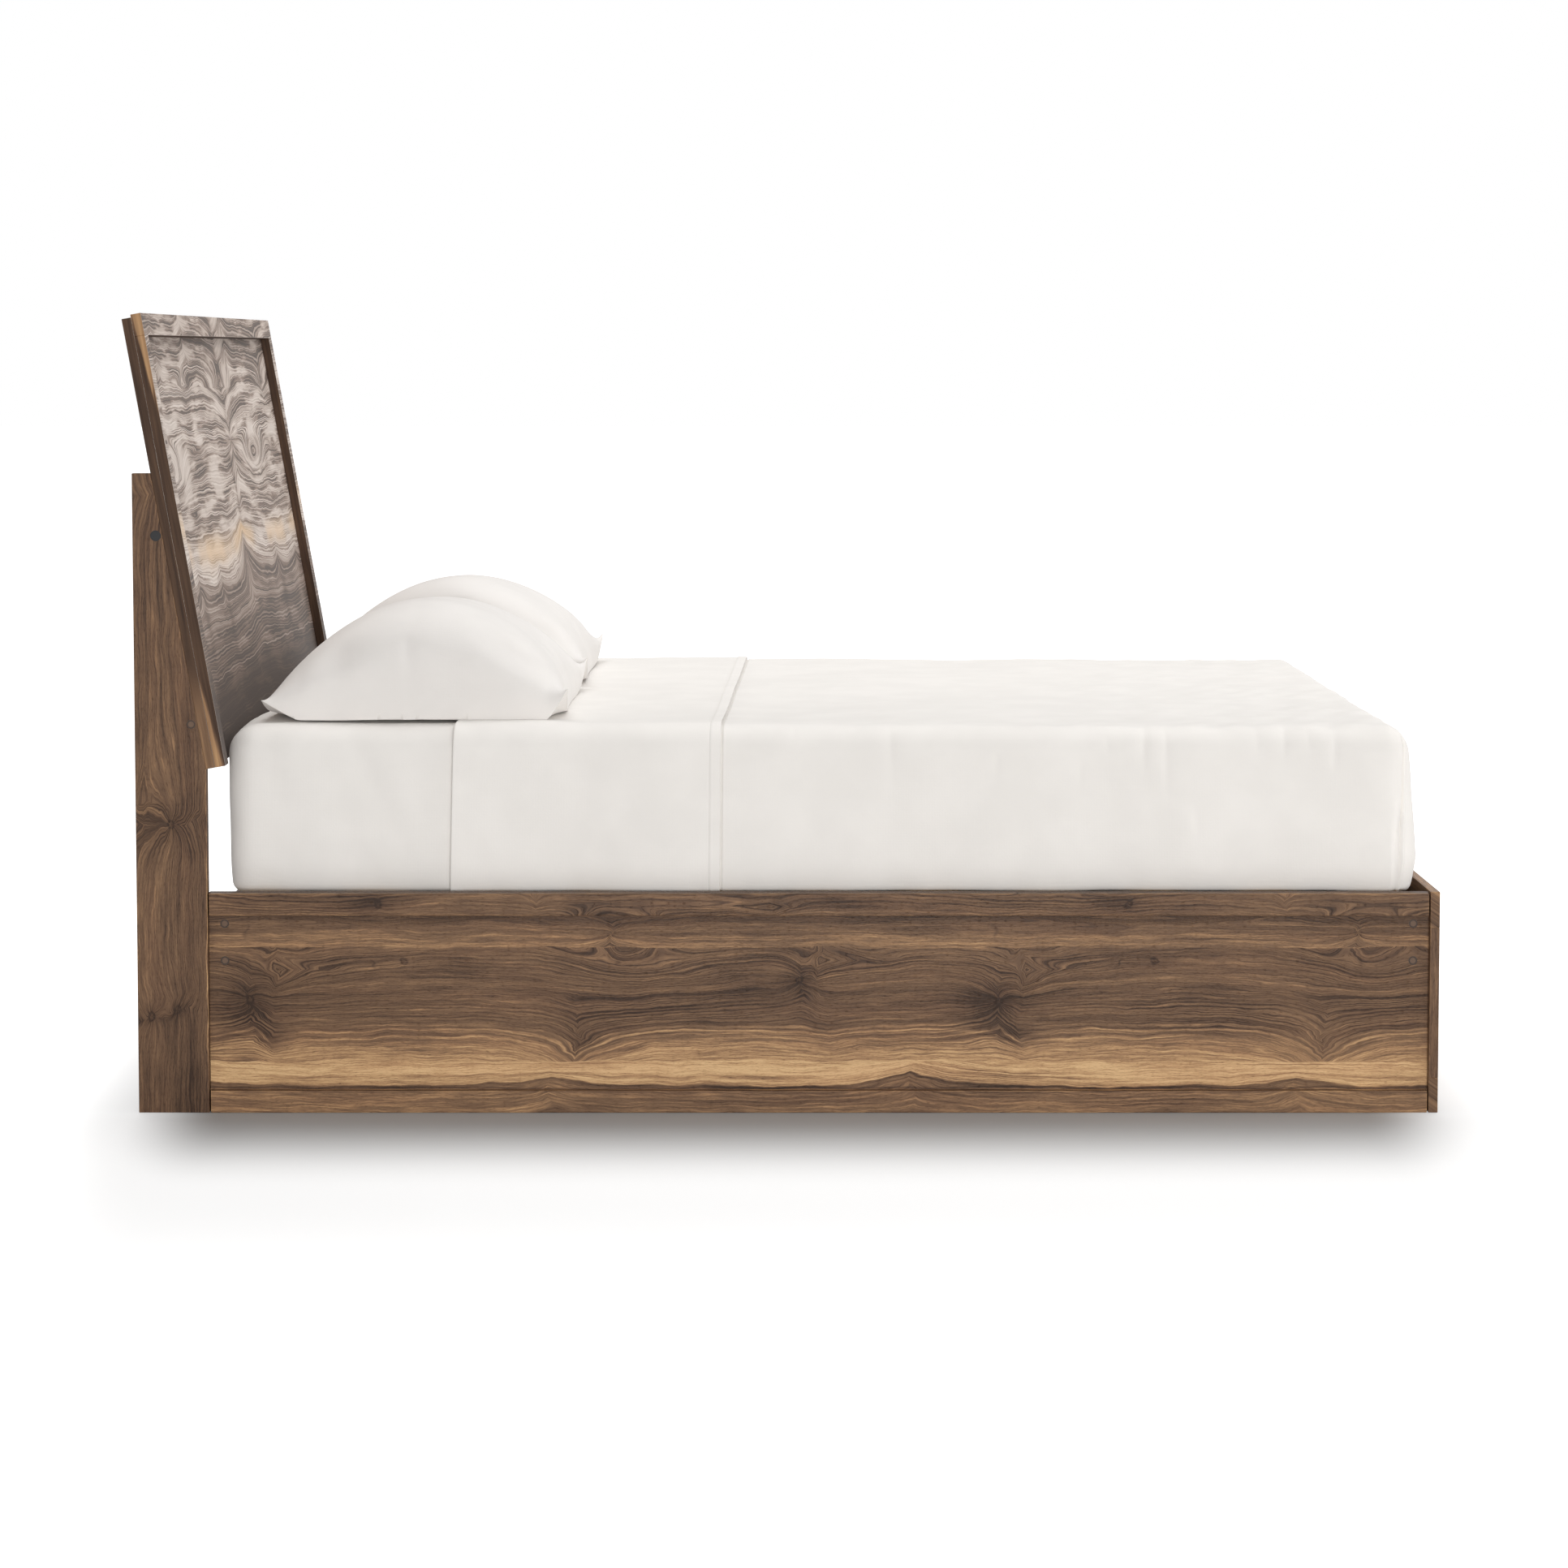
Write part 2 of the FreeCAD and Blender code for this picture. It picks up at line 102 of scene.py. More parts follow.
# %% Camera
EYE_FROM_POST_BACK = 1.108
EYE_DISTANCE = 6.591
EYE_HEIGHT = 1.304
LENS = 89.09
SHIFT = -0.10
TILT = math.radians(4.06)
camera = bpy.data.objects.new("camera", bpy.data.cameras.new("camera"))
camera.data.sensor_width = 36.0
camera.data.lens = LENS
camera.data.shift_y = SHIFT
camera.location = (post_low[0] + EYE_FROM_POST_BACK, -half_width - EYE_DISTANCE, EYE_HEIGHT)
camera.rotation_euler = (math.pi / 2 - TILT, 0, 0)
bpy.context.scene.collection.objects.link(camera)
bpy.context.scene.camera = camera
print("eye at", [round(c, 3) for c in camera.location])

# %% [markdown]
# ## A helper for materials
# A finish is a small graph of nodes. Wiring it by hand takes many lines, so a class adds one node per call
# and hands back its output. Sums and products of outputs are nodes too, so an output knows how to be added
# and multiplied, and a recipe can be written as an ordinary formula.


# %% Values and graphs
class Value:
    """One output of a node. Arithmetic with it adds a Math node to its graph."""

    def __init__(self, graph, socket):
        self.graph, self.socket = graph, socket

    def __add__(self, other):
        return self.graph.math("ADD", self, other)

    def __sub__(self, other):
        return self.graph.math("SUBTRACT", self, other)

    def __rsub__(self, other):
        return self.graph.math("SUBTRACT", other, self)

    def __mul__(self, other):
        return self.graph.math("MULTIPLY", self, other)

    def __truediv__(self, other):
        return self.graph.math("DIVIDE", self, other)

    def __abs__(self):
        return self.graph.math("ABSOLUTE", self)

    __radd__, __rmul__ = __add__, __mul__


class Graph:
    """A node tree in the making. A number goes into a socket as its value, and a Value is linked."""

    def __init__(self, tree):
        self.tree = tree

    def feed(self, socket, value):
        if isinstance(value, Value):
            self.tree.links.new(value.socket, socket)
        else:
            socket.default_value = value

    def add(self, kind, settings, sockets, output=0):
        node = self.tree.nodes.new("ShaderNode" + kind)
        for key, value in settings.items():
            setattr(node, key, value)
        for key, value in sockets.items():
            self.feed(node.inputs[key], value)
        return Value(self, node.outputs[output])

    def math(self, operation, *values):
        return self.add("Math", {"operation": operation}, dict(enumerate(values)))

    def seen_directly(self):
        """1 for camera, glossy and transmission rays, and 0 for the rest."""
        rays = self.tree.nodes.new("ShaderNodeLightPath").outputs
        kinds = ("Is Camera Ray", "Is Glossy Ray", "Is Transmission Ray")
        camera, glossy, through = (Value(self, rays[kind]) for kind in kinds)
        return self.math("MAXIMUM", self.math("MAXIMUM", camera, glossy), through)


# %% The material helper
class Finish(Graph):
    """A material in the making."""

    def __init__(self, name, rough=0.6, **sockets):
        self.material = bpy.data.materials.new(name)
        self.material.use_nodes = True
        super().__init__(self.material.node_tree)
        self.shader = self.tree.nodes["Principled BSDF"]
        self.shader.inputs["Roughness"].default_value = rough
        for key, value in sockets.items():
            self.shader.inputs[key.replace("_", " ")].default_value = value

    def place(self):
        return self.add("TexCoord", {}, {}, "Object")

    def normal(self):
        return self.add("TexCoord", {}, {}, "Normal")

    def dot(self, vector, direction):
        return self.add("VectorMath", {"operation": "DOT_PRODUCT"}, {0: vector, 1: direction}, "Value")

    def join(self, x, y, z):
        return self.add("CombineXYZ", {}, {"X": x, "Y": y, "Z": z})

    def noise(self, vector, scale, detail=2.0):
        return self.add("TexNoise", {}, {"Vector": vector, "Scale": scale, "Detail": detail})

    def flow(self, length, width, seed, detail):
        """Noise over two distances that are already scaled, so that it can be long and narrow."""
        return self.noise(self.join(length, width, seed), 1.0, detail)

    def lines(self, value, scale, detail=1.0):
        """Noise along one coordinate, so that it makes lines where that coordinate stays the same."""
        sockets = {"W": value, "Scale": scale, "Detail": detail}
        return self.add("TexNoise", {"noise_dimensions": "1D"}, sockets)

    def crests(self, value, scale, detail=1.0):
        """0 along the thin lines where such noise crosses its middle, and more away from them."""
        return abs(self.swing(self.lines(value, scale, detail), 4.0))

    def swing(self, value, amount):
        """The value's swing about a half, times an amount."""
        return (value - 0.5) * amount

    def bell(self, value, centre, width):
        """exp(-((value - centre) / width) ** 2)."""
        away = (value - centre) / width
        return self.math("EXPONENT", away * away * -1.0)

    def arris(self):
        """1 on a board's rounded edges, which face none of the three axes, and 0 on its faces."""
        ways = [abs(self.dot(self.normal(), way)) for way in (ALONG_X, ALONG_Y, ALONG_Z)]
        most = self.math("MAXIMUM", self.math("MAXIMUM", ways[0], ways[1]), ways[2])
        return self.step(most, 0.985, 0.90)

    def step(self, value, low, high):
        """0 below low, 1 above high, smooth between."""
        sockets = {"Value": value, "From Min": low, "From Max": high}
        return self.add("MapRange", {"interpolation_type": "SMOOTHSTEP"}, sockets)

    def ramp(self, value, stops):
        """Colour from a value, with stops {place: colour or grey}."""
        node = self.tree.nodes.new("ShaderNodeValToRGB")
        points = node.color_ramp.elements
        while len(points) < len(stops):
            points.new(0.5)
        for point, (place, shade) in zip(points, sorted(stops.items())):
            point.position = place
            point.color = shade if isinstance(shade, tuple) else (shade, shade, shade, 1.0)
        self.feed(node.inputs[0], value)
        return Value(self, node.outputs[0])

    def mix(self, factor, first, second, blend="MIX"):
        settings = {"data_type": "RGBA", "blend_type": blend}
        return self.add("Mix", settings, {0: factor, 6: first, 7: second}, 2)

    def finish(self, base, rough=None, height=None, depth=0.001):
        """Links colour, roughness and a bump of this depth in metres, and returns the material."""
        self.feed(self.shader.inputs["Base Color"], base)
        if rough is not None:
            self.feed(self.shader.inputs["Roughness"], rough)
        if height is not None:
            bump = self.add("Bump", {}, {"Height": height, "Distance": depth, "Strength": 1.0})
            self.feed(self.shader.inputs["Normal"], bump)
        return self.material


# %% Points and paint
def points_of(piece):
    """A piece's points as an array."""
    flat = np.zeros(len(piece.data.vertices) * 3, np.float32)
    piece.data.vertices.foreach_get("co", flat)
    return flat.reshape(-1, 3).astype(float)


def paint(material, *names):
    """Gives the material to CAD nodes."""
    for name in names:
        slots = nodes[name].data.materials
        slots.clear()
        slots.append(material)


# %% [markdown]
# ## Grain as contour lines
# Wood grain is what is left when a saw cuts across a stack of growth layers, so its lines are contour
# lines. They could be drawn with a stretched wave texture, but that gives stripes with no figure. Here a
# field is made instead: the distance across the grain, bent by slow noise, crowded together at each knot,
# raised into nested outlines beside it and drawn to a point where the layers pinch. Lines are then noise
# read along that field.


# %% Places on the sheet
def sheet_place(f, along, across, corner, shift):
    """Metres along and across the grain, from a corner of the board. Going through the board's thickness
    slowly adds to the distance across, so an edge carries on the lines of its face."""
    through = np.abs(np.cross(along, across))
    run = np.array(across) + 0.7 * through
    place = f.place()
    length = f.dot(place, along) + (shift[0] - float(np.dot(corner, along)))
    width = f.dot(place, run.tolist()) + (shift[1] - float(np.dot(corner, run)))
    return length, width


def wander(f, length, width, sway):
    """Both distances, bent by small noise, so that no figure is drawn with a ruler, and a slow drift."""
    sockets = {"Vector": f.join(length, width * 2.5, 0.0), "Scale": 11.0, "Detail": 3.0}
    fine = f.add("TexNoise", {}, sockets, "Color")
    length = length + f.swing(f.dot(fine, ALONG_X), 0.045)
    width = width + f.swing(f.dot(fine, ALONG_Y), 0.016)
    return length, width, f.swing(f.flow(length * 1.7, width * 7.0, 0.7, 2.0), sway)


# %% The figure of a sheet
class Figure:
    """The figure of a decor sheet, in planks laid side by side. A plank is (low, high, features), in metres
    across the sheet. The features repeat along it, and end at the plank's edges. Inside a nest of arrowheads
    or bowls walnut()'s layers lie at the figure's level, so that only the nest's own outlines show."""

    PLANK_EDGE = 0.0006

    def __init__(self, repeat, level, *planks):
        self.repeat, self.level, self.planks = repeat, level, planks

    def away(self, f, length, centre):
        """The distance along the grain to the nearest copy of a feature."""
        return f.math("WRAP", length - centre, self.repeat / 2, -self.repeat / 2)

    def fan(self, f, length, width, x, y, size, height, knot):
        """Layers crowd through a knot: height * angle / pi, fading as exp(-(r / size)^2)."""
        along, across = abs(self.away(f, length, x)), width - y
        r = f.math("SQRT", along * along + across * across)
        turn = f.math("ARCTAN2", across, along) * f.bell(r, 0.0, size)
        ring, heart = f.bell(r, 0.0055, 0.0020), f.bell(r, 0.0, 0.5 * size)
        return {"lines": turn * (height / math.pi), "dark": (ring * 0.30 + heart * 0.20) * knot}

    def pinch(self, f, length, width, x, y, reach, spread, height):
        """A cusp in the layers: height * exp(-|l| / reach) * exp(-(w / spread)^2)."""
        point = f.math("EXPONENT", abs(self.away(f, length, x)) * (-1 / reach))
        return {"layers": point * f.bell(width, y, spread) * height}

    def reach(self, f, length, x, left, right):
        """The distance along from x, counted in lefts on its left and in rights on its right."""
        away = self.away(f, length, x)
        return f.math("MAXIMUM", away * (1 / right), away * (-1 / left))

    def nest(self, f, distance, height):
        """height * exp(-distance), whose level lines are nested outlines."""
        fall = f.math("EXPONENT", distance * -1.0)
        return {"lines": fall * height, "nest": fall}

    def arrow(self, f, length, width, x, y, left, right, spread, height):
        """Nested arrowheads: a nest over reach + |w| / spread."""
        return self.nest(f, self.reach(f, length, x, left, right) + abs((width - y) / spread), height)

    def bowl(self, f, length, width, x, y, left, right, spread, height):
        """Nested bowls, with blunt ends: a nest over sqrt(reach^2 + (w / spread)^2)."""
        reach, side = self.reach(f, length, x, left, right), (width - y) / spread
        return self.nest(f, f.math("SQRT", reach * reach + side * side), height)

    def spot(self, f, length, width, x, y, long, wide, height, dark):
        """A small swelling with its own tone: exp(-(l / long)^2 - (w / wide)^2), times height and dark. Long
        thin ones also stand in for light: a dark line above the side sheet's bottom strip is painted shadow,
        and a pale line on the posts' edge is a painted highlight.
        """
        shape = f.bell(self.away(f, length, x), 0.0, long) * f.bell(width, y, wide)
        return {"lines": shape * height, "dark": shape * dark}

    def lift(self, f, length, width):
        """How far the features raise layers and lines, how dark they are, and how deep in a nest."""
        sums = dict.fromkeys(("layers", "lines", "dark", "nest"), 0.0)
        for low, high, features in self.planks:
            edges = (f.step(width, y - self.PLANK_EDGE, y + self.PLANK_EDGE) for y in (low, high))
            inside = next(edges) - next(edges)
            here = dict.fromkeys(sums, 0.0)
            for shape, *numbers in features:
                for kind, value in getattr(self, shape)(f, length, width, *numbers).items():
                    here[kind] = here[kind] + value
            for kind, value in here.items():
                sums[kind] = sums[kind] + inside * value
        return sums.values()


# %% [markdown]
# ## Walnut
# The bed's boards are faced with a walnut decor: mid-brown, with dark growth lines, short pores, knots,
# and a pale band of sapwood low on the sides that dips where the layers pinch. Every board is cut from
# one sheet, whose figure repeats along its length, so one recipe with a shift serves all of them. A board
# says which way its grain runs and which part of the sheet it shows.

# %% Walnut: the figures
JOINTS = (0.0865, 0.2850)
SIDE_FIGURE = Figure(
    1.283, 0.245,
    (-1.0, JOINTS[0], [
        ("pinch", 0.583, 0.035, 0.055, 0.040, -0.021), ("pinch", 1.205, 0.060, 0.070, 0.045, -0.030),
        # The next long thin dark mark, just above the bottom strip's top edge, is a painted shadow line where
        # the strip stands proud of the panel.
        ("spot", 0.0, 0.0398, 60.0, 0.0016, 0.0, 0.26)]),
    (JOINTS[0], JOINTS[1], [
        ("fan", 0.072, 0.191, 0.075, 0.066, 1.0), ("fan", 1.017, 0.2266, 0.055, 0.044, 1.0),
        ("fan", 0.338, 0.260, 0.009, 0.005, 0.7), ("spot", 0.2805, 0.256, 0.0022, 0.007, 0.0, 0.22),
        ("spot", 0.025, 0.190, 0.050, 0.030, 0.0, 0.10), ("spot", 0.965, 0.200, 0.075, 0.036, 0.0, 0.12),
        ("spot", 0.115, 0.130, 0.035, 0.020, 0.0, 0.14), ("spot", 1.060, 0.150, 0.045, 0.012, 0.0, 0.12),
        ("arrow", 0.112, 0.246, 0.018, 0.085, 0.036, 0.055),
        ("arrow", 1.050, 0.262, 0.018, 0.100, 0.034, 0.050),
        ("bowl", 0.712, 0.291, 0.060, 0.110, 0.058, 0.080), ("spot", 0.700, 0.257, 0.004, 0.004, 0.0, 0.20),
        ("pinch", 0.631, 0.090, 0.055, 0.080, 0.050), ("pinch", 0.110, 0.120, 0.045, 0.045, 0.016),
        ("pinch", 1.067, 0.140, 0.055, 0.050, 0.010)]),
    (JOINTS[1], 1.0, [
        ("fan", 0.688, 0.308, 0.060, 0.034, 0.3), ("spot", 0.065, 0.312, 0.003, 0.012, 0.0, 0.16),
        ("pinch", 0.740, 0.340, 0.090, 0.020, 0.012), ("arrow", 0.300, 0.335, 0.150, 0.200, 0.012, -0.020)]),
)
STRIP_FIGURE = Figure(
    1.283, 0.020,
    (-1.0, 1.0, [
        ("bowl", 0.150, 0.050, 0.085, 0.110, 0.026, 0.050), ("spot", 0.275, 0.022, 0.045, 0.016, 0.0, 0.26),
        ("fan", 0.292, 0.020, 0.012, 0.010, 0.6), ("pinch", 0.560, 0.030, 0.012, 0.020, 0.014),
        ("bowl", 0.690, -0.004, 0.060, 0.090, 0.020, 0.030), ("spot", 0.640, 0.018, 0.030, 0.012, 0.0, 0.16),
        ("arrow", 0.960, 0.016, 0.120, 0.040, 0.013, 0.030),
        ("spot", 1.090, 0.024, 0.070, 0.014, 0.0, 0.20)]),
)
POST_FIGURE = Figure(
    2.400, 0.020,
    (-1.0, 1.0, [
        ("fan", 0.501, 0.061, 0.080, 0.085, 0.7), ("fan", 0.163, 0.0236, 0.036, 0.030, 0.8),
        ("fan", 0.179, 0.070, 0.040, 0.030, 0.5), ("pinch", 0.520, 0.080, 0.110, 0.050, -0.040),
        ("pinch", 0.205, 0.074, 0.070, 0.045, -0.022), ("arrow", 0.535, 0.014, 0.020, 0.055, 0.018, 0.028),
        ("pinch", 1.060, 0.040, 0.050, 0.050, -0.020),
        # The first mark on the next line is a painted highlight: a thin pale line along the post's rounded
        # edge in its lower part.
        ("spot", 0.250, 0.1206, 0.330, 0.0014, 0.0, -0.45), ("spot", 0.000, 0.060, 0.170, 0.20, 0.0, 0.14)]),
)
print("the side sheet repeats every", SIDE_FIGURE.repeat, "m and has", len(SIDE_FIGURE.planks), "planks")

# %% Walnut: bands and shades
SHEET_WIDTH = 0.40
SIDE_BANDS = {
    0.000: 0.52, 0.035: 0.52, 0.070: 0.54, 0.096: 0.42, 0.105: 0.46, 0.112: 0.82, 0.1225: 0.84, 0.140: 0.82,
    0.1575: 0.90, 0.175: 0.90, 0.190: 0.88, 0.214: 0.81, 0.218: 0.76, 0.260: 0.72, 0.295: 0.65, 0.328: 0.62,
    0.337: 0.54, 0.345: 0.72, 0.354: 0.66, 0.363: 0.52, 0.3825: 0.48, 0.4175: 0.41, 0.4625: 0.39,
    0.5125: 0.38, 0.5625: 0.39, 0.650: 0.39, 0.711: 0.42, 0.7135: 0.54, 0.733: 0.57, 0.765: 0.50,
    0.800: 0.41, 0.835: 0.22,
}
STRIP_BANDS = {0.00: 0.40, 0.03: 0.44, 0.06: 0.38, 0.08: 0.42, 0.10: 0.46, 0.30: 0.40, 0.60: 0.34, 1.00: 0.40}
POST_BANDS = {
    0.00: 0.38, 0.10: 0.42, 0.20: 0.32, 0.27: 0.38, 0.32: 0.30, 0.45: 0.37, 0.60: 0.31, 0.80: 0.37,
    1.00: 0.35,
}
WALNUT_SHADES = {
    0.00: colour(50, 34, 24), 0.20: colour(80, 59, 44), 0.40: colour(106, 80, 60), 0.55: colour(127, 98, 73),
    0.70: colour(159, 123, 89), 0.85: colour(193, 154, 111), 1.00: colour(218, 181, 134),
}
PINKISH = (0.97, 0.90, 0.91, 1.0)

# %% Walnut: the recipe
LEVEL = 0.065
BROAD, STREAKS, FIBRE = 0.16, 0.62, 0.60
SMOKE_DARK, PORE_DARK, PORE_DEPTH = 0.12, 0.15, 0.00012
# The next two numbers set painted highlights: a thin line where the side sheet's planks meet, and a pale rim
# on rounded edges that catch the light.
JOINT_HIGHLIGHT, ARRIS_HIGHLIGHT = 0.10, 0.16
FAINT_LINES, BOLD_LINES = 0.04, 0.22
CROWDED_AT, CROWDED_WIDTH, CROWDED_LINES = 0.160, 0.045, 0.10


def walnut(node, along, across, shift=(0.0, 0.0), figure=SIDE_FIGURE, bands=SIDE_BANDS):
    """Walnut decor on one board. Its tone is the band of its layer, plus streaks and fibres read along the
    lines, less growth lines, smoke, pores and knots, and on the side sheet less a painted shadow line just
    above the bottom strip. Rounded edges get a painted highlight, and the side sheet gets a thin painted
    highlight where its planks meet."""
    f = Finish("walnut_" + node, Specular_IOR_Level=0.15)
    straight_length, straight_width = sheet_place(f, along, across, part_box(node)[0], shift)
    length, width, drift = wander(f, straight_length, straight_width, 0.012)
    layers, lines, dark, nest = figure.lift(f, length, width)
    field = width + drift + layers
    grain = field + lines + (figure.level - field) * f.step(nest, 0.22, 0.60)

    bold = f.step(f.flow(length * 2.5, grain * 14.0, 5.1, 2.0), 0.48, 0.66) * 0.8
    strength = f.math("MAXIMUM", f.step(abs(lines), 0.002, 0.012), bold) * BOLD_LINES + FAINT_LINES
    plank_glints = 0.0
    if figure is SIDE_FIGURE:
        strength = strength + f.bell(field, CROWDED_AT, CROWDED_WIDTH) * CROWDED_LINES
        # A thin painted highlight where the side sheet's planks meet, as if their edges caught the light.
        plank_glints = sum(f.bell(width, joint, 0.0013) for joint in JOINTS) * JOINT_HIGHLIGHT
    growth = f.step(f.crests(grain, 150.0), 0.38, 0.06) * strength

    broad = f.swing(f.lines(grain, 60.0, 2.0), BROAD)
    streaks = f.swing(f.flow(length * 6.0, grain * 210.0, 0.4, 3.0), STREAKS)
    fibre = f.swing(f.flow(straight_length * 24.0, grain * 480.0, 0.0, 2.0), FIBRE)
    smoke = f.step(f.flow(length * 5.0, field * 24.0, 1.7, 3.0), 0.50, 0.74) * SMOKE_DARK
    pores = f.step(f.flow(straight_length * 110.0, grain * 1500.0, 0.0, 1.0), 0.58, 0.68)
    tone = f.ramp(field / SHEET_WIDTH, bands) + LEVEL + broad + streaks + fibre - growth - smoke
    # Painted highlights on rounded edges and where the planks meet are added here. The figure's dark marks,
    # among them one painted shadow line, are taken off.
    tone = tone - pores * PORE_DARK + f.arris() * ARRIS_HIGHLIGHT + plank_glints - dark

    rosy = f.step(f.flow(length * 3.0, grain * 36.0, 3.3, 2.0), 0.44, 0.66)
    shade = f.ramp(tone, WALNUT_SHADES)
    shade = f.mix(rosy * 0.35, shade, f.mix(1.0, shade, PINKISH, "MULTIPLY"))
    rough = pores * 0.15 + f.swing(fibre, 0.2) + 0.52
    paint(f.finish(shade, rough, pores * -1.0, PORE_DEPTH), node)


# %% [markdown]
# ## Cutting the walnut boards
# Side panels and strips have their grain along the bed, posts have it upright, and the footboard and the
# drawer fronts have it across the bed. The strips show a plainer stretch of the sheet than the panel
# between them, so each board has its own shift.

# %% Walnut on the boards
for side, start in (("right", 0.0), ("left", 0.5)):
    walnut(f"{side}_side_panel", ALONG_X, ALONG_Z, (start, 0.0))
    walnut(f"{side}_bottom_strip", ALONG_X, ALONG_Z, (start, 0.0))
    walnut(f"{side}_top_strip", ALONG_X, ALONG_Z, (start, 0.0), STRIP_FIGURE, STRIP_BANDS)
    walnut(f"{side}_post", ALONG_Z, ALONG_X, (start, 0.0), POST_FIGURE, POST_BANDS)
    walnut(f"{side}_drawer_front", ALONG_Y, ALONG_Z, (start + 0.35, 0.06))
    walnut(f"footboard_{side}_stile", ALONG_Z, ALONG_Y, (start + 0.4, 0.27), POST_FIGURE, POST_BANDS)
    walnut(f"{side}_case_gable", ALONG_X, ALONG_Z, (start + 0.2, 0.05))
walnut("footboard_top_rail", ALONG_Y, ALONG_Z, (0.35, 0.22))
walnut("footboard_bottom_rail", ALONG_Y, ALONG_Z, (0.35, 0.20))
walnut("footboard_centre_stile", ALONG_Z, ALONG_Y, (0.7, 0.27), POST_FIGURE, POST_BANDS)
walnut("head_cross_rail", ALONG_Y, ALONG_Z, (0.9, 0.15))
walnut("case_back", ALONG_Y, ALONG_Z, (0.1, 0.05))
walnut("case_partition", ALONG_X, ALONG_Z, (0.5, 0.05))
print("walnut boards:", sum(1 for made in bpy.data.materials if made.name.startswith("walnut")))

# %% [markdown]
# ## The headboard's face
# The headboard wears a bleached, figured veneer on its face: greige with taupe lines, a warm pale band low
# down, and below it a darker figured zone that gets darker still towards the bottom edge. Its edges and back
# are walnut. The faces could be split into two materials on the mesh, but the CAD mesh isn't touched, so the
# surface's own direction chooses: what looks out along the panel's normal is greige, and the rest is walnut.

# %% Greige veneer: figure, bands and shades
GREIGE_FIGURE = Figure(
    3.2, None,
    (-1.0, 1.0, [
        ("arrow", 0.430, 0.658, 0.045, 0.045, 0.016, 0.060),
        ("arrow", 0.880, 0.652, 0.120, 0.100, 0.022, 0.075),
        ("arrow", 1.470, 0.658, 0.060, 0.060, 0.024, 0.070),
        ("spot", 1.180, 0.513, 0.110, 0.038, 0.100, 0.0), ("spot", 0.130, 0.503, 0.120, 0.042, 0.100, 0.0),
        ("fan", 0.900, 0.547, 0.260, 0.085, 0.0),
        ("spot", 0.900, 0.545, 0.160, 0.010, 0.0, 0.30), ("spot", 0.440, 0.533, 0.100, 0.010, 0.012, 0.34),
        ("spot", 1.480, 0.523, 0.100, 0.011, 0.012, 0.30), ("spot", 0.290, 0.420, 0.050, 0.007, 0.010, 0.30),
        ("spot", 1.350, 0.418, 0.050, 0.007, 0.010, 0.26), ("spot", 0.845, 0.455, 0.014, 0.060, 0.0, 0.26),
        ("spot", 0.890, 0.680, 0.016, 0.070, 0.0, 0.22), ("spot", 0.225, 0.235, 0.022, 0.050, 0.0, 0.14),
        ("spot", 0.500, 0.225, 0.022, 0.055, 0.0, 0.14), ("spot", 1.260, 0.220, 0.028, 0.060, 0.0, 0.16),
        ("spot", 1.540, 0.215, 0.022, 0.050, 0.0, 0.12),
        ("pinch", 0.820, 0.330, 0.055, 0.070, -0.062), ("pinch", 0.205, 0.290, 0.035, 0.035, -0.024),
        ("pinch", 0.465, 0.285, 0.035, 0.035, -0.020), ("pinch", 1.240, 0.290, 0.045, 0.035, -0.028),
        ("pinch", 1.520, 0.285, 0.035, 0.035, -0.020), ("pinch", 0.855, 0.440, 0.090, 0.040, 0.030),
        ("pinch", 0.520, 0.730, 0.030, 0.030, -0.018), ("pinch", 1.040, 0.715, 0.040, 0.030, -0.022),
        ("pinch", 0.190, 0.690, 0.030, 0.030, -0.016)]),
)
FACE_HEIGHT = 0.80
GREIGE_BANDS = {
    0.00: 0.00, 0.08: 0.02, 0.14: 0.08, 0.168: 0.22, 0.18: 0.34, 0.195: 0.24, 0.24: 0.28, 0.31: 0.32,
    0.345: 0.28, 0.362: 0.44, 0.378: 0.74, 0.42: 0.82, 0.50: 0.84, 0.56: 0.82, 0.66: 0.84, 0.70: 0.88,
    0.80: 0.84, 0.90: 0.76, 1.00: 0.72,
}
GREIGE_SHADES = {
    0.00: colour(58, 45, 39), 0.20: colour(88, 71, 60), 0.40: colour(122, 102, 90),
    0.60: colour(162, 145, 134), 0.80: colour(199, 185, 175), 1.00: colour(222, 211, 203),
}
# The second colour here is a painted highlight for the rounded edge where the headboard's face turns to its
# sides.
PATCH_GOLD, BEVEL_HIGHLIGHT = colour(228, 190, 140), colour(214, 204, 196)

# %% Greige veneer: the face
UP_SLOPE = (-math.sin(LEAN), 0.0, math.cos(LEAN))
OUT_OF_FACE = (math.cos(LEAN), 0.0, math.sin(LEAN))
knee = np.array([post_high[0], 0.0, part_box("headboard_panel")[0].z])
foot_of_slope = -float(knee @ np.array(UP_SLOPE))
back_of_slope = -float(knee @ np.array(OUT_OF_FACE))


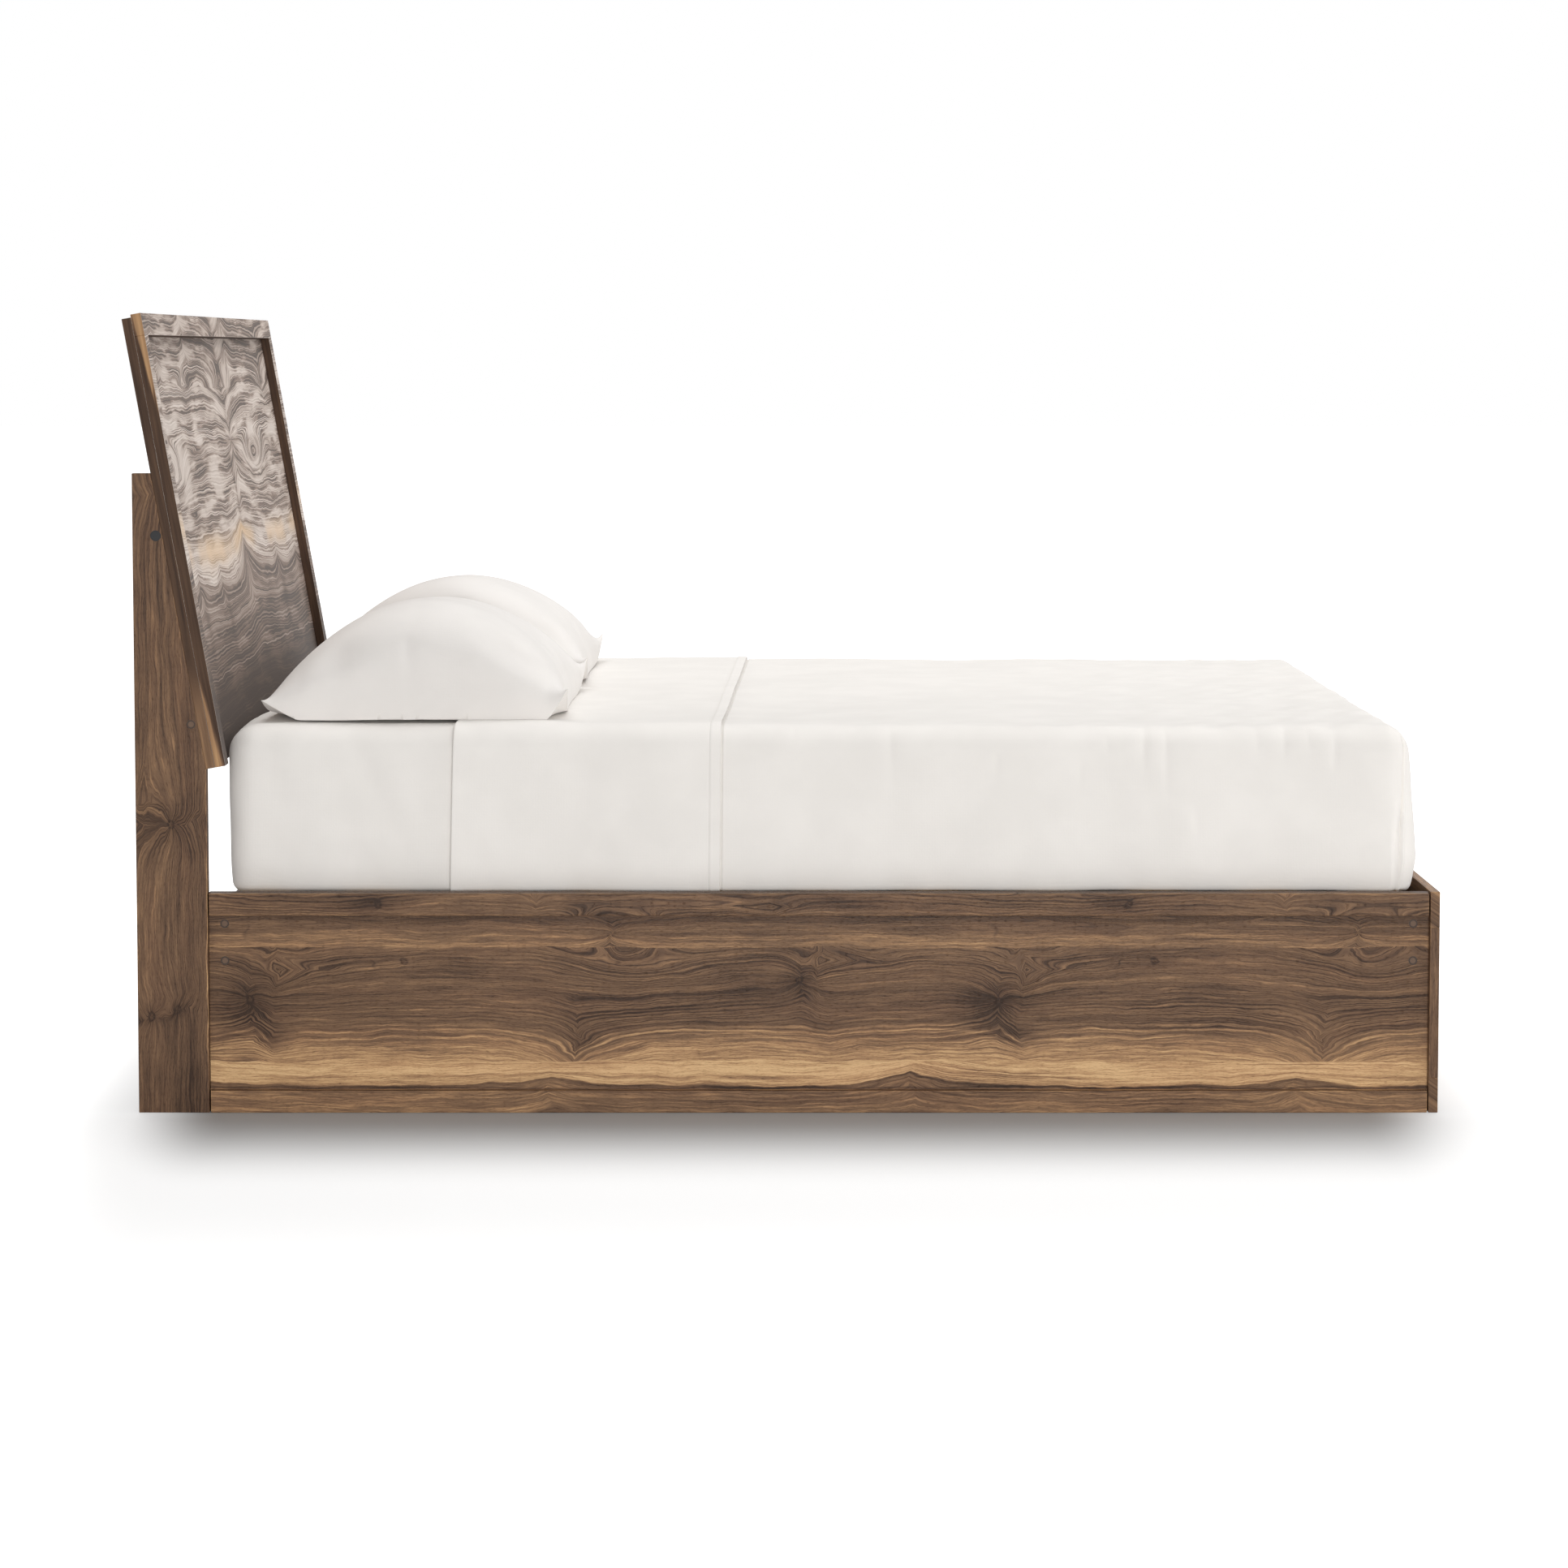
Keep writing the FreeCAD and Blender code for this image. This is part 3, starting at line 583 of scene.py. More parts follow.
def greige_face(f, shift):
    """The veneer: bands of tone by layer, two sets of thin taupe lines that come and go like smoke, pale
    lines in the dark foot, soft clouds, and a warm band in patches."""
    place = f.place()
    length = f.dot(place, ALONG_Y) + (half_width + shift[0])
    width = f.dot(place, UP_SLOPE) + (foot_of_slope + shift[1])
    length, width, drift = wander(f, length, width, 0.060)
    layers, lines, dark, _ = GREIGE_FIGURE.lift(f, length, width)
    field = width + drift + layers
    grain = field + lines

    smoke = f.flow(length * 5.5, grain * 30.0, 0.0, 3.0)
    strength = f.step(smoke, 0.36, 0.60) * (f.step(width, 0.34, 0.44) * 0.28 + 0.32)
    ink = f.step(f.crests(grain, 150.0, 2.0), 0.40, 0.12) * strength
    hair = f.step(f.crests(grain + 3.7, 300.0), 0.40, 0.06) * strength * 0.55
    in_foot = f.step(width, 0.40, 0.33) * f.step(width, 0.02, 0.20)
    pale_lines = f.step(f.crests(grain + 7.1, 170.0, 2.0), 0.42, 0.08) * in_foot * 0.26

    fine = f.swing(f.lines(grain, 270.0, 3.0), 0.62)
    clouds = f.swing(f.flow(length * 9.0, width * 14.0, 2.2, 3.0), 0.16)
    tone = f.ramp(grain / FACE_HEIGHT, GREIGE_BANDS) + 0.01 + fine + clouds + f.swing(smoke, -0.16)
    shade = f.ramp(tone + pale_lines - ink - hair - dark, GREIGE_SHADES)
    patches = f.step(f.noise(f.join(length, 0.0, 3.1), 3.2, 2.0), 0.36, 0.60)
    return f.mix(f.bell(field, 0.352, 0.024) * patches * 0.60, shade, PATCH_GOLD)


# %% The headboard's edges
def edge_walnut(f, sapwood):
    """Walnut on the headboard's edges: dark heartwood, and on the outer edges pale sapwood where
    sapwood(rise, out) says."""
    place = f.place()
    rise = f.dot(place, UP_SLOPE) + foot_of_slope
    out = f.dot(place, OUT_OF_FACE) + back_of_slope
    outer = f.step(abs(f.dot(place, ALONG_Y)), half_width - 0.004, half_width - 0.001)
    grain = f.join(rise * 7.0, out * 160.0, f.dot(place, ALONG_Y))
    streaks = f.noise(grain, 1.0, 3.0)
    pale = sapwood(f, rise + f.swing(streaks, 0.16), out) * outer * 0.58
    return f.ramp(f.swing(streaks, 0.60) + pale + 0.13, WALNUT_SHADES)


def frame_sapwood(f, rise, out):
    """Pale at the top, and again low down along the back of the frame layer."""
    top = f.step(rise - (0.034 - out) * 11.0, 0.57, 0.62)
    return f.math("MAXIMUM", top, f.step(rise + (out - 0.016) * 12.0, 0.20, 0.13))


def panel_sapwood(f, rise, _):
    """Pale only at the very foot."""
    return f.step(rise, 0.20, 0.08) * 0.7


def headboard_finish(name, sapwood, shift=(0.0, 0.0)):
    """Greige where the surface looks out of the headboard's face, walnut elsewhere, and a pale painted
    highlight on the rounded edge between them.
    """
    f = Finish(name, Specular_IOR_Level=0.18)
    facing = f.dot(f.normal(), OUT_OF_FACE)
    base = f.mix(f.step(facing, 0.55, 0.80), edge_walnut(f, sapwood), greige_face(f, shift))
    # A pale painted highlight on the rounded edge between face and side.
    base = f.mix(f.bell(facing, 0.80, 0.14) * 0.7, base, BEVEL_HIGHLIGHT)
    pores = f.join(f.dot(f.place(), ALONG_Y), f.dot(f.place(), UP_SLOPE) * 14.0, 0.0)
    return f.finish(base, None, f.noise(pores, 40.0), 0.0001)


FRAME_FACE = headboard_finish("greige_frame", frame_sapwood, (0.12, -0.05))
PANEL_FACE = headboard_finish("greige_panel", panel_sapwood)
paint(FRAME_FACE, "headboard_top_rail", "headboard_left_stile", "headboard_right_stile")
paint(PANEL_FACE, "headboard_panel")
print("headboard's face starts", round(foot_of_slope, 3), "up the slope")

# %% [markdown]
# ## Plain woods and metals
# Slats, cleats, beam and legs are sanded softwood, and the drawers' boards are a pale veneered board.
# Nobody polishes these, so they are matt with a plain straight grain. The slides are zinc-plated sheet,
# the pulls and the upper caps are black, and the small caps are moulded in the walnut's brown.


# %% Plain woods
def plain_wood(name, along, across, light, dark, knots, *pieces):
    """Straight softwood on some pieces: noise read along a slightly bent field, with a few small knots."""
    f = Finish(name, rough=0.68, Specular_IOR_Level=0.25)
    length, width = sheet_place(f, along, across, (0.0, 0.0, 0.0), (0.0, 0.0))
    field = width + f.swing(f.flow(length * 1.1, width * 2.0, 0.0, 1.0), 0.09)
    fibres = f.flow(length * 18.0, width * 700.0, 0.0, 2.0)
    spots = f.add("TexVoronoi", {}, {"Vector": f.join(length, width * 1.6, 0.0), "Scale": 3.1})
    tone = f.swing(f.lines(field, 95.0, 2.0), 1.5) + f.swing(fibres, 0.5) + 0.45
    tone = tone - f.step(spots, 0.055, 0.0) * (0.8 * knots)
    paint(f.finish(f.ramp(tone, {0.0: dark, 1.0: light}), None, fibres, 0.00015), *pieces)


PINE = (colour(222, 192, 148), colour(174, 134, 88), 1.0)
BOARD = (colour(196, 168, 132), colour(160, 128, 94), 0.0)
drawers = ("left_drawer", "right_drawer")
slats = sorted(name for name in nodes if name.startswith("slat_"))
plain_wood("pine_slat", ALONG_Y, ALONG_X, *PINE, *slats)
plain_wood("pine_long", ALONG_X, ALONG_Z, *PINE, "left_slat_cleat", "right_slat_cleat", "centre_beam")
plain_wood("pine_upright", ALONG_Z, ALONG_X, *PINE, "corner_blocks", "centre_legs")
drawer_sides = [f"{drawer}_{way}_side" for drawer in drawers for way in ("outer", "inner")]
plain_wood("drawer_board_side", ALONG_X, ALONG_Z, *BOARD, *drawer_sides)
plain_wood("drawer_board_back", ALONG_Y, ALONG_Z, *BOARD, *(f"{drawer}_back" for drawer in drawers))
plain_wood("drawer_board_bottom", ALONG_X, ALONG_Y, *BOARD, *(f"{drawer}_bottom" for drawer in drawers))
print("slats:", len(slats), "drawer sides:", len(drawer_sides))


# %% Metals and caps
# A painted shadow ring round each brown cap at its rim: its radius, width and colour.
CAP_RING, RING_WIDTH, RIM_SHADOW = 0.0062, 0.0014, colour(34, 25, 20)


def plated_steel():
    """Zinc plate: metal with faint crystals and rolling lines."""
    f = Finish("zinc_plate", Metallic=1.0)
    place = f.place()
    rolled = f.join(f.dot(place, ALONG_X) * 3.0, f.dot(place, ALONG_Y), f.dot(place, ALONG_Z))
    crystals = f.noise(rolled, 160.0, 3.0)
    base = f.ramp(crystals, {0.3: colour(178, 182, 186), 0.7: colour(206, 208, 208)})
    return f.finish(base, f.swing(crystals, 0.2) + 0.30)


def moulded(name, base, rough, shadow_rings=()):
    """Fine-grained plastic or powder coat in one colour, with a painted shadow ring round each given (x, z),
    where a cap's rim meets its hole.
    """
    f = Finish(name, rough=rough, Specular_IOR_Level=0.25)
    speck = f.noise(f.place(), 900.0)
    lighter = tuple(min(1.0, c * 1.35) for c in base[:3]) + (1.0,)
    shade = f.mix(f.step(speck, 0.45, 0.75), base, lighter)
    across = f.add("VectorMath", {"operation": "MULTIPLY"}, {0: f.place(), 1: (1, 0, 1)})
    for x, z in shadow_rings:
        away = f.add("VectorMath", {"operation": "DISTANCE"}, {0: across, 1: (x, 0, z)}, "Value")
        # Darkens a thin ring at the cap's rim: painted shadow.
        shade = f.mix(f.bell(away, CAP_RING, RING_WIDTH) * 0.85, shade, RIM_SHADOW)
    return f.finish(shade, None, speck, 0.00006)


def cap_centres(node):
    """The middle (x, z) of each round cap in a node: points within 30 mm of a first one belong together."""
    groups = []
    for point in points_of(nodes[node])[:, [0, 2]]:
        for group in groups:
            if np.hypot(*(group[0] - point)) < 0.03:
                group.append(point)
                break
        else:
            groups.append([point])
    return [((np.min(group, axis=0) + np.max(group, axis=0)) / 2).tolist() for group in groups]


ZINC = plated_steel()
BLACK = moulded("black_coat", colour(20, 20, 22), 0.45)
paint(ZINC, "cabinet_slide_channels", "left_drawer_channels", "right_drawer_channels")
paint(ZINC, "left_ball_cages", "right_ball_cages")
paint(BLACK, "left_drawer_pull", "right_drawer_pull", "black_cover_caps")
caps = cap_centres("panel_cover_caps")
paint(moulded("brown_cap", colour(98, 76, 60), 0.5, caps), "panel_cover_caps")
print("brown caps:", np.round(caps, 3).tolist())
print("finishes made:", len(bpy.data.materials))

# %% [markdown]
# ## Numpy surfaces
# Soft pieces start as grids of points worked out as whole arrays. A helper turns one or more grids into a
# mesh, merges the points where grids meet, and smooths the shading. Two small curves, a bell and an even
# rise, shape nearly every fold.


# %% Grid helpers
def grid_faces(rows, columns, start=0):
    """The quads of a grid of points, numbered row by row."""
    i, j = np.meshgrid(np.arange(rows - 1), np.arange(columns - 1), indexing="ij")
    corner = (start + i * columns + j).ravel()
    return np.stack([corner, corner + columns, corner + columns + 1, corner + 1], axis=1)


def mesh_from(name, grids, merge=0.0):
    """A mesh object from a list of (rows, columns, 3) arrays, joined where their points meet."""
    points, faces, start = [], [], 0
    for grid in grids:
        rows, columns = grid.shape[:2]
        points.append(grid.reshape(-1, 3))
        faces.append(grid_faces(rows, columns, start))
        start += rows * columns
    mesh = bpy.data.meshes.new(name)
    mesh.from_pydata(np.concatenate(points).tolist(), [], np.concatenate(faces).tolist())
    work = bmesh.new()
    work.from_mesh(mesh)
    if merge:
        bmesh.ops.remove_doubles(work, verts=work.verts, dist=merge)
    bmesh.ops.recalc_face_normals(work, faces=work.faces)
    work.to_mesh(mesh)
    work.free()
    mesh.shade_smooth()
    made = bpy.data.objects.new(name, mesh)
    bpy.context.scene.collection.objects.link(made)
    return made


def bell(value, centre, width):
    """exp(-((value - centre) / width) ** 2)."""
    return np.exp(-(((value - centre) / width) ** 2))


def grow(value, start, run):
    """0 up to start, then evenly up to 1 over the run."""
    return np.clip((value - start) / run, 0, 1)


def put_points(piece, points):
    piece.data.vertices.foreach_set("co", points.astype(np.float32).ravel())
    piece.data.update()


# %% [markdown]
# ## The soft box
# The mattress and the sheets on it are all skins of one soft box: a box with rounded edges. Each face of a
# plain box is a grid; a point is drawn in to the box's core and pushed out again by the radius, which
# rounds every edge with no seam. Bent lines and folds then move each point along its own normal.

# %% Rounded box
EDGE = 0.046
LOWER_EDGE = 0.030
SAME_POINT = 1e-5
ARC_STEPS = 6
CLOSEST = 0.0008


def lines_between(low, high, step, low_edge=EDGE, extra=()):
    """Grid lines across a box: even in the middle, and evenly turned, edge * tan(angle), in its edges."""
    turn = np.tan(np.linspace(0, math.pi / 4, ARC_STEPS))
    first, last = low + low_edge, high - EDGE
    middle = np.linspace(first, last, int((high - low) / step) + 2)
    lines = np.concatenate([first - low_edge * turn, middle, last + EDGE * turn, list(extra)])
    lines = np.unique(lines.round(6))
    return lines[np.concatenate([[True], np.diff(lines) > CLOSEST])]


def rounded(points, low, high):
    """Points on a box's faces, moved onto the rounded box, with their outward normals."""
    radius = np.where(points[..., 2:] < (low[2] + high[2]) / 2, LOWER_EDGE, EDGE)
    size = np.concatenate([np.full(points.shape[:-1] + (2,), EDGE), radius], axis=-1)
    core = np.clip(points, low + size, high - size)
    out = (points - core) / size
    normal = out / np.maximum(np.linalg.norm(out, axis=-1, keepdims=True), 1e-9)
    return core + normal * size, normal


def box_face(axis, value, first, second):
    """A grid on one face of a box: axis is the face's own, and first and second are its lines."""
    a, b = np.meshgrid(first, second, indexing="ij")
    face = [a, b]
    face.insert(axis, np.full_like(a, value))
    return np.stack(face, axis=-1)


# %% Ripples and creases
rng = np.random.default_rng(7)


def waves(count, shortest, longest, stretch=(1.0, 1.0, 1.0)):
    """Directions and phases of random waves, for ripple()."""
    turn = rng.normal(size=(count, 3))
    turn /= np.linalg.norm(turn, axis=1, keepdims=True)
    length = np.exp(rng.uniform(math.log(shortest), math.log(longest), count))
    return turn * np.array(stretch) * 2 * math.pi / length[:, None], rng.uniform(0, 2 * math.pi, count)


def ripple(points, wave):
    """Sum of sin(k . p + phase), scaled to about one."""
    direction, phase = wave
    return np.sin(points @ direction.T + phase).sum(axis=-1) / math.sqrt(len(phase) / 2)


slow_waves = waves(14, 0.35, 0.9)
drop_waves = waves(18, 0.10, 0.34, (1.0, 1.0, 0.16))
small_waves = waves(26, 0.05, 0.14)
SLOW_DEPTH, FOOT_CALM, FOLD_DEPTH, CREASE_DEPTH = 0.0016, 0.0010, 0.0016, 0.0008
TUCK_DEPTH, TUCK_TOP, TUCK_RUN = 0.012, 0.07, 0.06
FOOT_LEAN = ((0.0, 0.020, 0.074, 0.283, 0.306), (-0.003, 0.004, 0.012, -0.003, -0.004))


def common_swell(points, normal):
    """What every layer of the bedding shares, so that the layers never cross: slow ripples over the bed,
    soft upright folds on the drops, fine creases near the foot, a foot end that leans out as it goes down,
    and a tuck where the drops enter the frame."""
    drop = 1 - normal[..., 2] ** 2
    height = points[..., 2] - mattress_low[2]
    calm = SLOW_DEPTH - FOOT_CALM * grow(points[..., 0], 0.7, 0.3)
    hang = grow(mattress_high[2] - points[..., 2], 0, 0.25)
    folds = ripple(points, drop_waves) * FOLD_DEPTH * drop * (0.35 + 0.65 * hang)
    tired = grow(points[..., 0], 0.45, 0.6) * (1 - drop)
    creases = ripple(points, small_waves) * CREASE_DEPTH * (0.30 + tired)
    foot_lean = np.clip(normal[..., 0], 0, 1) ** 2 * np.interp(height, *FOOT_LEAN)
    tuck = TUCK_DEPTH * grow(TUCK_TOP - height, 0, TUCK_RUN) ** 2 * (0.3 + 0.7 * normal[..., 1] ** 2)
    return ripple(points, slow_waves) * calm + folds + creases - tuck + foot_lean


def pressed(along, height, lines):
    """Creases pressed in along straight lines, each (along, height) to (along, height), width, depth:
    -depth * (exp(-(d / width)^2) - 0.4 * exp(-((d - 2.2 width) / (1.6 width))^2)), fading past both ends."""
    total = np.zeros(along.shape)
    for start_x, start_z, end_x, end_z, width, depth in lines:
        run = np.array([end_x - start_x, end_z - start_z])
        length = np.hypot(*run)
        way = run / length
        done = (along - start_x) * way[0] + (height - start_z) * way[1]
        off = ((along - start_x) * way[1] - (height - start_z) * way[0]) / width
        ends = grow(done, -0.01, 0.02) * grow(length - done, -0.06 * length, 0.6 * length)
        total -= depth * ends * (bell(off, 0, 1) - 0.4 * bell(off, 2.2, 1.6))
    return total


# %% Skins of the box
def box_sides(low, high, steps):
    """The lines along x and y, and the grids of a box's four upright faces."""
    x, y = (lines_between(low[axis], high[axis], steps[axis]) for axis in (0, 1))
    z = lines_between(low[2], high[2], steps[2], LOWER_EDGE)
    faces = [box_face(0, end, y, z) for end in (low[0], high[0])]
    return x, y, faces + [box_face(1, end, x, z) for end in (low[1], high[1])]


def skin(low, high, faces, swell):
    """Box faces rounded, then moved along their normals by swell(points, normals)."""
    skins = []
    for face in faces:
        points, normal = rounded(face, low, high)
        skins.append(points + normal * swell(points, normal)[..., None])
    return skins


# %% [markdown]
# ## Mattress and fitted sheet
# Under the bedding lies a plain mattress, seen only between the slats and past the sheet's hem. The fitted
# sheet hugs it on the top and the sides and turns under its lower edge, where elastic gathers it. Cloth
# simulation would settle almost to the same smooth skin, so both are soft-box skins with slow ripples.

# %% Mattress and fitted sheet
MATTRESS_INSET, MATTRESS_START = 0.0085, (0.0005, 0.0085, 0.001)
FITTED_INSET, FITTED_START = 0.0050, (-0.004, 0.0050, 0.0004)
HEM_UNDER = 0.11
HEAD_CREASES = ((-0.761, 0.640, -0.670, 0.450, 0.015, 0.0028), (-0.905, 0.655, -0.880, 0.500, 0.014, 0.0018))


def fitted_swell(points, normal):
    """The common ripples, and two soft slanting creases that pull from the head end."""
    creases = pressed(points[..., 0], points[..., 2], HEAD_CREASES)
    return common_swell(points, normal) + np.abs(normal[..., 1]) * creases


lower, upper = mattress_low + MATTRESS_START, mattress_high - MATTRESS_INSET
x_lines, y_lines, faces = box_sides(lower, upper, (0.04, 0.04, 0.03))
faces += [box_face(2, z, x_lines, y_lines) for z in (lower[2], upper[2])]
mattress = mesh_from("mattress_core", skin(lower, upper, faces, common_swell), SAME_POINT)

lower, upper = mattress_low + FITTED_START, mattress_high - FITTED_INSET
x_lines, y_lines, faces = box_sides(lower, upper, (0.014, 0.02, 0.014))
faces += [box_face(2, upper[2], x_lines, y_lines)]
x_low, x_high = x_lines[x_lines < lower[0] + HEM_UNDER], x_lines[x_lines > upper[0] - HEM_UNDER]
y_low, y_high = y_lines[y_lines < lower[1] + HEM_UNDER], y_lines[y_lines > upper[1] - HEM_UNDER]
x_mid = x_lines[(x_lines >= x_low[-1]) & (x_lines <= x_high[0])]
faces += [box_face(2, lower[2], x, y_lines) for x in (x_low, x_high)]
faces += [box_face(2, lower[2], x_mid, y) for y in (y_low, y_high)]
fitted_sheet = mesh_from("fitted_sheet", skin(lower, upper, faces, fitted_swell), SAME_POINT)
print("fitted sheet:", len(fitted_sheet.data.vertices), "points")

# %% [markdown]
# ## The top sheet
# A flat sheet lies over the fitted one from below the pillows to the foot. Its head end is turned back over
# itself, so it has a rounded fold near the pillows, a second layer, and a narrow stitched hem where that
# layer stops. It drops down the sides and the foot and is tucked in, with the side drop lying over the foot's
# wrap at each lower corner. It is built in two parts that share their points: rows of one cross-section,
# from the hem back to the fold and down again towards the foot, and a soft-box skin round the foot.

# %% Top sheet: measures
SHEET_INSET = 0.0030
LAYER = 0.0028
FOLD_FROM_HEAD = 0.392
HEM_FROM_HEAD = 0.847
JOIN_PAST_HEM = 0.05
HEM_WIDTH = 0.019
HEM_HEIGHT = 0.010
LEAN_HEADWARD = 0.0075
SKEW = 0.032
EAR = 0.0045
CORNER_TOP, CORNER_BOTTOM = 0.0215, 0.0320
LAP, LAP_RUN, LAP_WIDTH = 0.0035, 0.0016, 0.45
BEAD, BEAD_AT, BEAD_WIDTH = 0.0030, 0.0065, 0.0024
GUTTER, GUTTER_AT, GUTTER_WIDTH = 0.0065, 0.0016, 0.0013
DROP_CREASES = (
    (0.605, 0.664, 0.601, 0.580, 0.0075, 0.0030), (0.640, 0.655, 0.644, 0.520, 0.0075, 0.0020),
    (0.846, 0.665, 0.843, 0.600, 0.0070, 0.0028), (0.797, 0.660, 0.800, 0.610, 0.0070, 0.0018),
    (0.166, 0.655, 0.170, 0.560, 0.0080, 0.0020), (0.350, 0.610, 0.346, 0.570, 0.0080, 0.0016),
    (0.539, 0.640, 0.541, 0.610, 0.0070, 0.0018), (0.885, 0.655, 0.889, 0.610, 0.0070, 0.0018),
    (0.933, 0.645, 0.929, 0.580, 0.0070, 0.0022), (-0.001, 0.662, 0.001, 0.635, 0.0070, 0.0016),
    (0.692, 0.520, 0.696, 0.460, 0.0080, 0.0014), (0.495, 0.600, 0.491, 0.550, 0.0080, 0.0014),
)
low, high = mattress_low + SHEET_INSET, mattress_high - SHEET_INSET
low[2] = mattress_low[2]
x_fold = mattress_low[0] + FOLD_FROM_HEAD
x_hem = mattress_low[0] + HEM_FROM_HEAD
x_join = x_hem + JOIN_PAST_HEM
print("fold and hem at", round(x_fold, 3), round(x_hem, 3))


# %% Top sheet: grid lines
def close_lines(centre, width=0.004, count=9):
    """Lines set close together where a fold or a step needs them."""
    return centre + np.linspace(-width, width, count)


turned = EDGE * np.tan(np.radians(np.arange(14.0, 42.5, 0.8)))
foot_turned = EDGE * np.tan(np.radians(np.arange(27.0, 44.5, 1.5)))
crease_lines = np.concatenate([close_lines(crease[0], 0.008, 5) for crease in DROP_CREASES])
x_lines = lines_between(low[0], high[0], 0.012, extra=[x_join, *crease_lines, *(high[0] - EDGE + turned)])
x_lines = x_lines[x_lines >= x_join - 1e-6]
y_extra = [*(low[1] + EDGE - foot_turned), *(high[1] - EDGE + foot_turned)]
y_lines = lines_between(low[1], high[1], 0.019, extra=y_extra)
z_lines = lines_between(low[2], high[2], 0.014, LOWER_EDGE)
z_lines = z_lines[z_lines > mattress_low[2] + HEM_HEIGHT]


# %% Top sheet: how the cloth swells
def sheet_swell(points, normal):
    """The common ripples, the creases in the drops and on the top, and the drop's lap over the foot's wrap: a
    step at the corner, at a line that leans headward as it goes down, with a gutter and a bead beside it. In
    front of the line the drop runs on flat while the corner turns; on the foot's own edge there is no lap."""
    drop = 1 - normal[..., 2] ** 2
    side = np.abs(normal[..., 1])
    height = (points[..., 2] - low[2]) / (high[2] - low[2])
    past = points[..., 0] - (mattress_high[0] - CORNER_BOTTOM + (CORNER_BOTTOM - CORNER_TOP) * height)
    level = side / np.maximum(np.hypot(normal[..., 0], normal[..., 1]), 1e-6)
    flat = 0.35 * EDGE * (1 / np.clip(level, 0.6, 1) - 1) * grow(drop, 0.6, 0.4)
    lap = (LAP + flat) * grow(LAP_RUN / 2 - past, 0, LAP_RUN)
    lap += BEAD * bell(past, BEAD_AT, BEAD_WIDTH) - GUTTER * bell(past, GUTTER_AT, GUTTER_WIDTH)
    lap *= drop * grow(level, 0, LAP_WIDTH)
    creases = side * pressed(points[..., 0], points[..., 2], DROP_CREASES)
    wrinkles = normal[..., 2] ** 2 * pressed(points[..., 0], points[..., 1], top_wrinkles)
    return common_swell(points, normal) + lap + creases + wrinkles


draw = np.random.default_rng(11)
top_wrinkles = []
for x in draw.uniform(0.35, 1.0, 14):
    y = draw.uniform(low[1] + 0.05, low[1] + 0.45)
    span = draw.uniform(0.06, 0.14)
    top_wrinkles.append((x, y, x + span, y - 0.35 * span, 0.013, draw.uniform(0.0010, 0.0020)))


# %% Top sheet: one row
def row(x, offset):
    """The sheet's section at x: up one drop, over the bed and down the other, out by offset. The turned-back
    part leans towards the head as it hangs and slants over the bed, and its fold is pushed up into a small
    ear at the bed's edges."""
    up = box_face(1, low[1], np.array([x]), z_lines)[0]
    over = box_face(2, high[2], np.array([x]), y_lines)[0]
    down = box_face(1, high[1], np.array([x]), z_lines)[0][::-1]
    points, normal = rounded(np.concatenate([up, over[1:-1], down]), low, high)
    ear = EAR * bell(x, x_fold, 0.012) * bell(np.abs(normal[:, 1]), 0.6, 0.35)
    points = points + normal * (sheet_swell(points, normal) + offset + ear)[:, None]
    hang = np.clip((mattress_high[2] - points[:, 2]) / (mattress_high[2] - mattress_low[2]), 0, 1)
    points[:, 0] -= LEAN_HEADWARD * hang * np.interp(x, [x_fold, x_hem, x_join], [1.0, 0.3, 0.0])
    slant = np.interp(x, [x_fold, x_hem, x_hem + 0.006, x_join], [0.0, 1.0, 1.0, 0.0])
    points[:, 0] += SKEW * slant * (points[:, 1] - low[1]) / (high[1] - low[1])
    return points


# %% Top sheet: rows and foot
FOLD_RADIUS, FOLD_PUFF = 0.0035, 0.0012
STITCH_DEPTH, STITCH_WIDTH, HEM_LIFT = 0.0008, 0.0016, 0.0012
UNDER_HEM, UNDER_AT, UNDER_WIDTH = 0.0026, 0.0018, 0.0017
ROW_STEP = 0.014
stitch_x = x_hem - HEM_WIDTH
flap_x = np.concatenate([
    x_hem - np.array([0.0, 0.0008, 0.0020, 0.0045, 0.009, 0.014]),
    stitch_x + np.array([0.003, 0.0015, 0.0, -0.0015, -0.003, -0.008]),
    np.arange(stitch_x - 0.02, x_fold + 0.006, -ROW_STEP),
])
stitch = STITCH_DEPTH * bell(flap_x, stitch_x, STITCH_WIDTH)
flap_out = LAYER - stitch + HEM_LIFT * grow(flap_x, stitch_x, 0.002)
turn = np.linspace(0, math.pi, 9)[1:-1]
fold_x = x_fold - FOLD_RADIUS * np.sin(turn)
fold_out = LAYER / 2 * (1 + np.cos(turn)) + FOLD_PUFF * np.sin(turn)
below_x = np.concatenate([
    np.arange(x_fold + 0.006, x_hem - 0.006, ROW_STEP),
    x_hem + np.arange(-0.004, 0.0075, 0.0009),
    [x_hem + 0.018, x_hem + 0.034, x_join],
])
below_out = -UNDER_HEM * bell(below_x, x_hem + UNDER_AT, UNDER_WIDTH)
row_x, row_out = np.concatenate([flap_x, fold_x, below_x]), np.concatenate([flap_out, fold_out, below_out])
rows = np.stack([row(x, out) for x, out in zip(row_x, row_out)])
foot = [box_face(1, y, x_lines, z_lines) for y in (low[1], high[1])]
foot += [box_face(2, high[2], x_lines, y_lines), box_face(0, high[0], y_lines, z_lines)]
top_sheet = mesh_from("top_sheet", [rows, *skin(low, high, foot, sheet_swell)], 2e-4)
print("top sheet:", len(top_sheet.data.vertices), "points")

